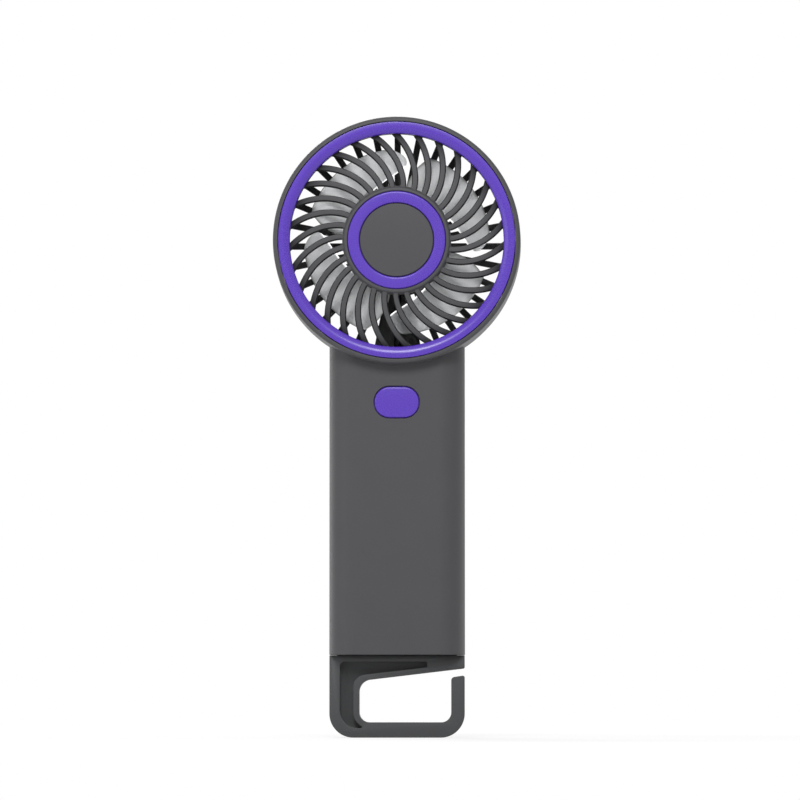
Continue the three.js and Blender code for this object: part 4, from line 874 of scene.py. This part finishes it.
def makeImpeller():
    hub, edge, inner = impeller["hub"], impeller["cupEdge"], impeller["hub"] - impeller["wall"]
    floor = hubFront + impeller["face"]
    cup = roundedPath([
        (0, hubFront), (hub, hubFront, impeller["crownEdge"]), (hub, hubBack, edge), (inner, hubBack, edge),
        (inner, floor), (0, floor),
    ])
    blades = [blade(360 / impeller["blades"] * k) for k in range(impeller["blades"])]
    obj = makePiece("fanImpeller", [turned(cup, headCentre), *blades])
    markPaintedEdges(obj)
    return dress(obj, "fan_rotor", "frosted_blade", "impeller")


def markPaintedEdges(obj):
    # rim, a painted dark outline, fades with the distance from the tip and the leading edge, as exp(-distance
    # / rimWidth). edge, a painted glow along the trailing edge, is 1 over the first half of its width, square
    # to the trailing edge, and falls to 0 over the other half; it ends at a share of the blade's reach.
    x, z = (placesOf(obj) - headCentre)[:, ::2].T
    radius, sector = np.hypot(x, z), 360 / impeller["blades"]
    angle = np.degrees(np.arctan2(x, z)) % sector
    v = (radius - bladeRoot) / bladeReach
    lead, trail, slope = bladeEdges(v)
    angle = np.where(angle < lead - impeller["leadMargin"], angle + sector, angle)
    toLead, toTip = np.radians(angle - lead) * radius, impeller["tip"] - radius
    toTrail = np.radians(trail - angle) * radius / np.hypot(1, np.radians(slope) * radius / bladeReach)
    onBlade = radius > impeller["hub"] + impeller["markClear"]
    fades = [np.exp(-np.maximum(away, 0) / impeller["rimWidth"]) for away in (toTip, toLead)]
    edge = np.clip(2 - np.maximum(toTrail, 0) / impeller["glintWidth"] * 2, 0, 1)
    mark(obj, "rim", np.clip(fades[0] + fades[1], 0, 1) * onBlade)
    mark(obj, "edge", edge * (v < impeller["glintReach"]) * onBlade)


makeImpeller()
print("impeller done")


# Rear grille
rear = dict(
    ribs=32, width=2.1, depth=2.0, edge=0.15, inset=2.2, outer=39.6, wall=0.6, ringDepth=2.2, ringEdge=0.2,
    hub=17.0, inHub=1.0, hubProud=0.1, hubDepth=2.4, hubEdges=(0.3, 0.7), seat=9.5, sink=2.3, sinkDepth=1.6,
    armDepth=3.7, grooveWidth=2.5, grooveDepth=2.6,
)
rearGrilleLow, rearGrilleHigh = boxOf("rear_grille")
ribBack = backFace - rear["inset"]
hubRear = ribBack + rear["hubProud"]
ribEnds = np.array([rear["hub"] - rear["inHub"], rear["outer"] - rear["wall"] / 2])


def rearRibs():
    # A rounded section carried straight out from the hub to the ring
    section = boxPath(rear["width"], rear["depth"], rear["edge"], steps=4)
    depth, parts = ribBack - rear["depth"] / 2 + section[None, :, 1], []
    for k in range(rear["ribs"]):
        angle = 2 * pi / rear["ribs"] * k
        outward, side = np.array([np.sin(angle), np.cos(angle)]), np.array([np.cos(angle), -np.sin(angle)])
        parts.append(carried(ribEnds[:, None] * outward, side, section, depth))
    return parts


def rearArm():
    # A channel section whose sides spread with the radius, along the two ribs next to the bottom one
    radii, groove = ribEnds[:, None], rear["grooveWidth"] / 2
    spread = radii * np.tan(2 * pi / rear["ribs"]) * np.array([-1, -1, 0, 0, 0, 0, 1, 1])
    fixed = np.array([0, 0, -groove, -groove, groove, groove, 0, 0])
    back, front = hubRear, hubRear - rear["armDepth"]
    floor = front + rear["grooveDepth"]
    depth = np.array([back, front, front, floor, floor, front, front, back])
    points = np.stack([spread + fixed, depth + 0 * radii, -radii + 0 * depth], -1) + headCentre
    return points, tubeFaces(2, 8)


def makeRearGrille():
    seatFront, hubFace, edges = rearGrilleLow[1], hubRear - rear["hubDepth"], rear["hubEdges"]
    hub = makePiece("hub", [turned(roundedPath([
        (0, seatFront), (rear["seat"], seatFront), (rear["seat"], hubFace), (rear["hub"], hubFace, edges[0]),
        (rear["hub"], hubRear, edges[1]), (0, hubRear),
    ]), headCentre)])
    inner, outer, edge = rear["outer"] - rear["wall"], rear["outer"], rear["ringEdge"]
    front, back = ribBack - rear["ringDepth"], rearGrilleHigh[1]
    ring = roundedPath([(inner, front, edge), (outer, front), (outer, back), (inner, back, edge)], 4)
    floor = hubRear - rear["sinkDepth"]
    places = [middleOf(f"motor_screw_{i}")[[0, 2]] for i in range(1, 4)]
    combine(hub, [
        screwSeat(x, z, shell["holeRadius"], seatFront - over, rear["sink"], floor, hubRear + over)
        for x, z in places
    ])
    rest = makePiece("rest", [turned(ring, headCentre, steps=shell["steps"]), *rearRibs(), rearArm()])
    return dress(joined("rearGrille", [hub, rest]), "housing", "black_plastic", "rear_grille")


makeRearGrille()
print("rear grille done")


# Hook cap
hook = dict(
    depth=12.0, inset=0.1, corner=8.0, foot=5.1, tipBar=4.5, tipSlant=0.7, tipCorner=1.2, mouth=2.3,
    spine=9.9, inner=3.4, top=4.1, bandLeft=8.55, bandRight=4.35, bandEdge=0.6, edge=0.3, seam=0.15,
    plugRise=4.6, neck=40.0,
    pocketSide=3.5, pocketTop=2.05, pocketInner=1.9, pocketEnd=12.5, pocketFoot=3.2, pocketDepth=3.2,
    pocketCorner=1.6, pocketEndCorner=0.5, footCorner=6.2, tailTurn=55, tailTip=0.35,
)


def makeHookCap():
    half = shell["width"] / 2 - hook["inset"]
    top, foot = handleBottom - hook["seam"], hook["foot"]
    innerLeft, innerRight = -half + hook["spine"], half - hook["tipBar"]
    slopeLeft, slopeRight = top - hook["bandLeft"], top - hook["bandRight"]
    tip = slopeRight - hook["mouth"]
    outline = roundedPath([
        (-half, top), (-half, 0, hook["corner"]), (half, 0, hook["corner"]), (half, tip, hook["tipSlant"]),
        (innerRight, tip - hook["tipSlant"], hook["tipCorner"]), (innerRight, foot, hook["inner"]),
        (innerLeft, foot, hook["inner"]), (innerLeft, slopeLeft, hook["top"]),
        (half, slopeRight, hook["bandEdge"]), (half, top),
    ], 16)
    slope = (slopeRight - slopeLeft) / (half - innerLeft)
    left, inner, end = -half + hook["pocketSide"], innerLeft - hook["pocketInner"], half - hook["pocketEnd"]

    def edgeAt(x):
        return slopeLeft + hook["pocketInner"] + slope * (x - innerLeft)

    # The pocket's tail runs on round the opening's corner by tailTurn degrees and ends in a narrow tip
    ceiling, turn, low = top - hook["pocketTop"], radians(hook["tailTurn"]), hook["pocketFoot"]
    tailCorner, endCorner = hook["inner"] + hook["pocketInner"], hook["pocketEndCorner"]
    tailTop = foot + hook["inner"] - tailCorner * np.tan(turn / 2)
    tailEnd = inner + (tailTop - low) * np.tan(turn)
    pocket = roundedPath([
        (left, ceiling, hook["pocketCorner"]), (left, low, hook["footCorner"]),
        (tailEnd, low, hook["tailTip"]), (inner, tailTop, tailCorner), (inner, edgeAt(inner), hook["top"]),
        (end, edgeAt(end), endCorner), (end, ceiling, endCorner),
    ], 12)
    front, play = -hook["depth"] / 2, shell["play"]
    floor = front + hook["pocketDepth"]
    plate = makePiece("plate", [extruded(outline, front, -front)])
    combine(plate, [extruded(pocket, front - over, floor)])
    eased(plate, hook["edge"])
    plugPath = boxPath(innerWidth - 2 * play, innerDepth - 2 * play, shell["corner"] - shell["wall"] - play)
    plug = makePiece("plug", [extruded(plugPath, handleBottom, handleBottom + hook["plugRise"], "z")])
    neckPath = boxPath(hook["neck"], hook["depth"] - 2 * hook["edge"] - play, play)
    combine(plug, [extruded(neckPath, top - over, handleBottom + over, "z")], "UNION")
    obj = joined("hookCap", [plate, plug])
    # Painted shade in the pocket: the attribute is 1 on the pocket's floor and falls to 0 up its sides
    mark(obj, "shade", np.abs(placesOf(obj)[:, 1] - floor) < near)
    return dress(obj, "housing", "hook_grey", "hook_cap", angle=shell["smoothUpTo"], finish="hookPaintedShade")


makeHookCap()
print("hook done")


# Power button
def makeButton():
    # The edge is a quarter round; from there the face rises to the middle by crown * (1 - (1 - t)^2)
    front, inner = buttonLow[1], frontFace + shell["wall"]
    width, height, corner, flange = button["width"], button["height"], button["corner"], button["flange"]
    edge, crown, foot = button["edge"], button["crown"], inner + button["lift"]
    turn, across = np.linspace(0, pi / 2, 8), np.linspace(0, 1, 12)[1:]
    reach = min(width, height) / 2 - edge - button["middle"]
    rings = [(0, foot), *[(edge * (1 - np.cos(a)), front + crown + edge * (1 - np.sin(a))) for a in turn]]
    rings += [(edge + reach * t, front + crown * (1 - t * (2 - t))) for t in across]
    flangeRings = [(0, foot), (0, inner + flange)]
    obj = makePiece("powerButton", [
        pillow(width, height, corner, rings, centre=buttonPlace),
        pillow(width + 2 * flange, height + 2 * flange, corner + flange, flangeRings, centre=buttonPlace),
        rod(button["stem"], inner + edge, buttonHigh[1], (0, 0, buttonPlace[1])),
    ])
    return dress(obj, "button", "purple_accent", "power_button")


makeButton()
print("button done")


# Screws
screw = dict(
    pitch=0.8, threadDepth=0.22, core=0.18, neck=0.8, neckDepth=0.2, threadEnd=0.3, chamfer=0.25,
    domeFall=1.2, domeIn=0.3, drive=0.62, driveWidth=0.26, driveDepth=0.7, driveEdge=0.6,
)


def screwParts(radius, head, headDepth, length, place, axis):
    # From the tip up: a cone, a ringed thread whose radius swings over each pitch, and a low domed head
    turns = int(length / screw["pitch"]) - 1
    height = -length + radius + screw["pitch"] / 4 * np.arange(4 * turns + 1)
    ripple = np.tile([0, 0.5, 1, 0.5], turns + 1)[: 4 * turns + 1]
    thread = np.stack([radius - screw["threadDepth"] * (1 - ripple), height], -1)
    thread = thread[height < -screw["threadEnd"]]
    dome, neck = np.linspace(0, 1, 7), screw["neck"] * radius
    top = headDepth - screw["chamfer"] * screw["domeFall"] * dome ** 2
    profile = np.concatenate([
        [(0, -length), (screw["core"] * radius, -length)], thread,
        [(neck, -screw["neckDepth"]), (neck, 0), (head, 0)],
        np.stack([(head - screw["chamfer"] * screw["domeIn"]) * dome, top], -1)[::-1],
    ])
    return turned(profile, place, axis, 48)


def makeScrew(node, body, radius, head, headDepth, axis="y"):
    # A cross recess is cut into the head with two crossed bars
    low, high = boxOf(node)
    along = "xyz".index(axis)
    place, top = (low + high) / 2, high[along]
    place[along] = top - headDepth
    first, *rest = node.split("_")
    name = first + "".join(part.capitalize() for part in rest)
    obj = makePiece(name, [screwParts(radius, head, headDepth, top - low[along] - headDepth, place, axis)])
    reach, half = screw["drive"] * head, screw["driveWidth"] * head / 2
    across, foot = np.delete(place, along), top - screw["driveDepth"] * headDepth
    bars = [
        boxPath(2 * wide, 2 * tall, half * screw["driveEdge"], across, 4)
        for wide, tall in ((reach, half), (half, reach))
    ]
    combine(obj, [extruded(bar, foot, top + over, axis) for bar in bars])
    return dress(obj, body, "dark_steel", node, angle=crisp)


for kind, count in (("shell", 4), ("hook", 2), ("motor", 3)):
    for i in range(1, count + 1):
        makeScrew(f"{kind}_screw_{i}", "housing", radius=0.9, head=2.0, headDepth=1.2)
makeScrew("crank_screw", "crank", radius=1.2, head=3.5, headDepth=1.3)
makeScrew("knob_screw", "knob", radius=0.8, head=3.0, headDepth=1.3, axis="z")
print("screws done")


# Crank arm, folded knob and bush
arm = dict(
    hub=8.0, end=7.0, slotWidth=9.4, slotCorner=2.35, slotFoot=4.4, slotHead=25.4, edge=0.8,
    neck=2.5, sink=3.8, sinkDepth=1.4, pinHole=1.1, pinReach=10,
)
knob = dict(
    barrel=3.0, barrelGap=0.4, barrelEdge=0.4, pin=1.0, pinEdge=0.2, collar=3.2, collarThick=1.0,
    collarTop=3.6,
    post=2.0, postEdges=(0.1, 0.2, 0.15), postGap=0.1, hole=0.9, holeDepth=6.1,
    start=3.8, length=20.0, radius=4.2, waist=0.5, edge=0.8, bore=2.15, sink=3.3, sinkDepth=1.6,
)
bush = dict(bore=3.15, play=0.1, flange=1.8, flangeDepth=0.6, edges=(0.15, 0.1, 0.25))
pinPlace = middleOf("knob_pin")
hinge = (0, pinPlace[1], pinPlace[2])


def makeCrankArm():
    # Two half circles joined by straight sides, with a slot for the knob
    low, high = boxOf("crank_arm")
    front, back, hingeZ = low[1], high[1], hinge[2]
    turn = np.radians(np.linspace(0, 180, 49))
    outline = np.concatenate([
        np.stack([arm["hub"] * np.cos(turn), crankZ + arm["hub"] * np.sin(turn)], -1),
        np.stack([arm["end"] * np.cos(turn + pi), hingeZ + arm["end"] * np.sin(turn + pi)], -1),
    ])
    obj = makePiece("crankArm", [extruded(outline, front, back)])
    foot, head = hingeZ - arm["slotFoot"], hingeZ + arm["slotHead"]
    slot = boxPath(arm["slotWidth"], head - foot, arm["slotCorner"], (0, (foot + head) / 2), 10)
    combine(obj, [extruded(slot, front - over, back + over)])
    eased(obj, arm["edge"], 4)
    seat = boxOf("crank_screw")[1][1] - arm["sinkDepth"]
    combine(obj, [
        screwSeat(0, crankZ, arm["neck"], front - over, arm["sink"], seat, back + over),
        rod(arm["pinHole"], -arm["pinReach"], arm["pinReach"], hinge, "x", 32),
    ])
    return dress(obj, "crank", "dark_shell", "crank_arm", angle=crisp)


def makeKnobPost():
    # A barrel on the pin, and a stepped post that stands on it, with a hole for the knob's screw
    half, barrel, edge = arm["slotWidth"] / 2 - knob["barrelGap"], knob["barrel"], knob["barrelEdge"]
    top = knob["start"] + knob["length"] - knob["sinkDepth"] - knob["postGap"]
    floor, hole = top - knob["holeDepth"], knob["hole"]
    ledge, collar, foot = knob["collarTop"], knob["collar"], knob["collarTop"] - knob["collarThick"]
    radius, (fine, wide, tip) = knob["post"], knob["postEdges"]
    post = roundedPath([
        (0, barrel / 2), (radius, barrel / 2), (radius, foot, fine), (collar, foot, wide),
        (collar, ledge, wide), (radius, ledge, fine), (radius, top, tip), (hole, top), (hole, floor),
        (0, floor),
    ], 4)
    across = roundedPath([(0, -half), (barrel, -half, edge), (barrel, half, edge), (0, half)], 5)
    obj = makePiece("knobPost", [turned(across, hinge, "x", 72)])
    combine(obj, [turned(post, hinge, "z", 72)], "UNION")
    combine(obj, [rod(arm["pinHole"], -arm["pinReach"], arm["pinReach"], hinge, "x", 32)])
    return dress(obj, "knob", "bright_steel", "knob_post", angle=crisp)


def makeKnobGrip():
    # The side draws in by waist * sin(pi t)^2 over the grip's length, between two quarter rounds
    start, top, edge = knob["start"], knob["start"] + knob["length"], knob["edge"]
    radius, floor = knob["radius"], top - knob["sinkDepth"]
    t, turn = np.linspace(0, 1, 40), np.linspace(0, pi / 2, 7)[:-1]
    straight = top - start - 2 * edge
    side = np.stack([radius - knob["waist"] * np.sin(pi * t) ** 2, start + edge + straight * t], -1)
    low = np.stack([radius - edge + edge * np.sin(turn), start + edge - edge * np.cos(turn)], -1)
    high = np.stack([radius - edge + edge * np.cos(turn), top - edge + edge * np.sin(turn)], -1)
    profile = np.concatenate([
        [(knob["bore"], start)], low, side, high[1:], [(radius - edge, top)],
        [(knob["sink"], top), (knob["sink"], floor), (knob["bore"], floor)],
    ])
    obj = makePiece("knobGrip", [turned(profile, hinge, "z", 96)])
    return dress(obj, "grip", "purple_accent", "knob_grip")


def makeKnobPin():
    low, high = boxOf("knob_pin")
    radius, edge, left, right = knob["pin"], knob["pinEdge"], low[0], high[0]
    profile = roundedPath([(0, left), (radius, left, edge), (radius, right, edge), (0, right)], 4)
    obj = makePiece("knobPin", [turned(profile, hinge, "x", 48)])
    return dress(obj, "crank", "bright_steel", "knob_pin", angle=crisp)


def makeBush():
    bore, outer = bush["bore"], shell["bushHole"] - bush["play"]
    front, back, flange = bushLow[1], bushHigh[1], outer + bush["flange"]
    step = back - bush["flangeDepth"]
    edge, inner, rim = bush["edges"]
    profile = roundedPath([
        (bore, front, edge), (outer, front, edge), (outer, step), (flange, step, inner), (flange, back, rim),
        (bore, back, edge),
    ], 4)
    obj = makePiece("crankBush", [turned(profile, (0, 0, crankZ), steps=96)])
    return dress(obj, "housing", slotOf["crank_bush"], "crank_bush", angle=crisp)


makeCrankArm()
makeKnobPost()
makeKnobGrip()
makeKnobPin()
makeBush()
print("crank done")


# Charging socket and battery
socket = dict(
    wall=0.4, back=1.2, edge=0.1, slim=0.05, tongue=0.7, tongueWidth=6.6, tongueCorner=0.3,
    tongueRings=((0, 0.6, "low"), (0, -1.4, "high"), (0.2, -1.2, "high")),
)
battery = dict(corner=2.4, end=1.4)


def makeSocket():
    (deep, tall), wall = socketSize, socket["wall"]
    low, high, corner = socketLow[0], socketHigh[0], deep / 2 - socket["slim"]
    mouth = boxPath(deep - 2 * wall, tall - 2 * wall, deep / 2 - wall - socket["slim"], socketPlace, 16)
    obj = makePiece("socketShell", [extruded(boxPath(deep, tall, corner, socketPlace, 16), low, high, "x")])
    combine(obj, [extruded(mouth, low + socket["back"], high + over, "x")])
    dress(eased(obj, socket["edge"], 2), "housing", "bright_steel", "charging_socket", angle=crisp)
    rings = [(inset, level + (low if end == "low" else high)) for inset, level, end in socket["tongueRings"]]
    tongue = pillow(socket["tongue"], socket["tongueWidth"], socket["tongueCorner"], rings, "x", socketPlace)
    return dress(makePiece("socketTongue", [tongue]), "housing", "black_plastic", angle=crisp)


def makeBattery():
    # A pouch cell: full in the middle, with each end drawn in along a quarter round to a flat weld
    low, high = boxOf("battery")
    width, deep = (high - low)[:2]
    turn, end = np.linspace(0, pi / 2, 7), battery["end"]
    foot = [(end * (1 - np.sin(a)), low[2] + end * (1 - np.cos(a))) for a in turn]
    rings = foot + [(inset, low[2] + high[2] - level) for inset, level in foot[::-1]]
    cell = pillow(width, deep, battery["corner"], rings, "z", ((low + high) / 2)[:2])
    return dress(makePiece("pouchCell", [cell]), "housing", "pouch_foil", "battery", angle=50)


makeSocket()
makeBattery()
print("socket and battery done")
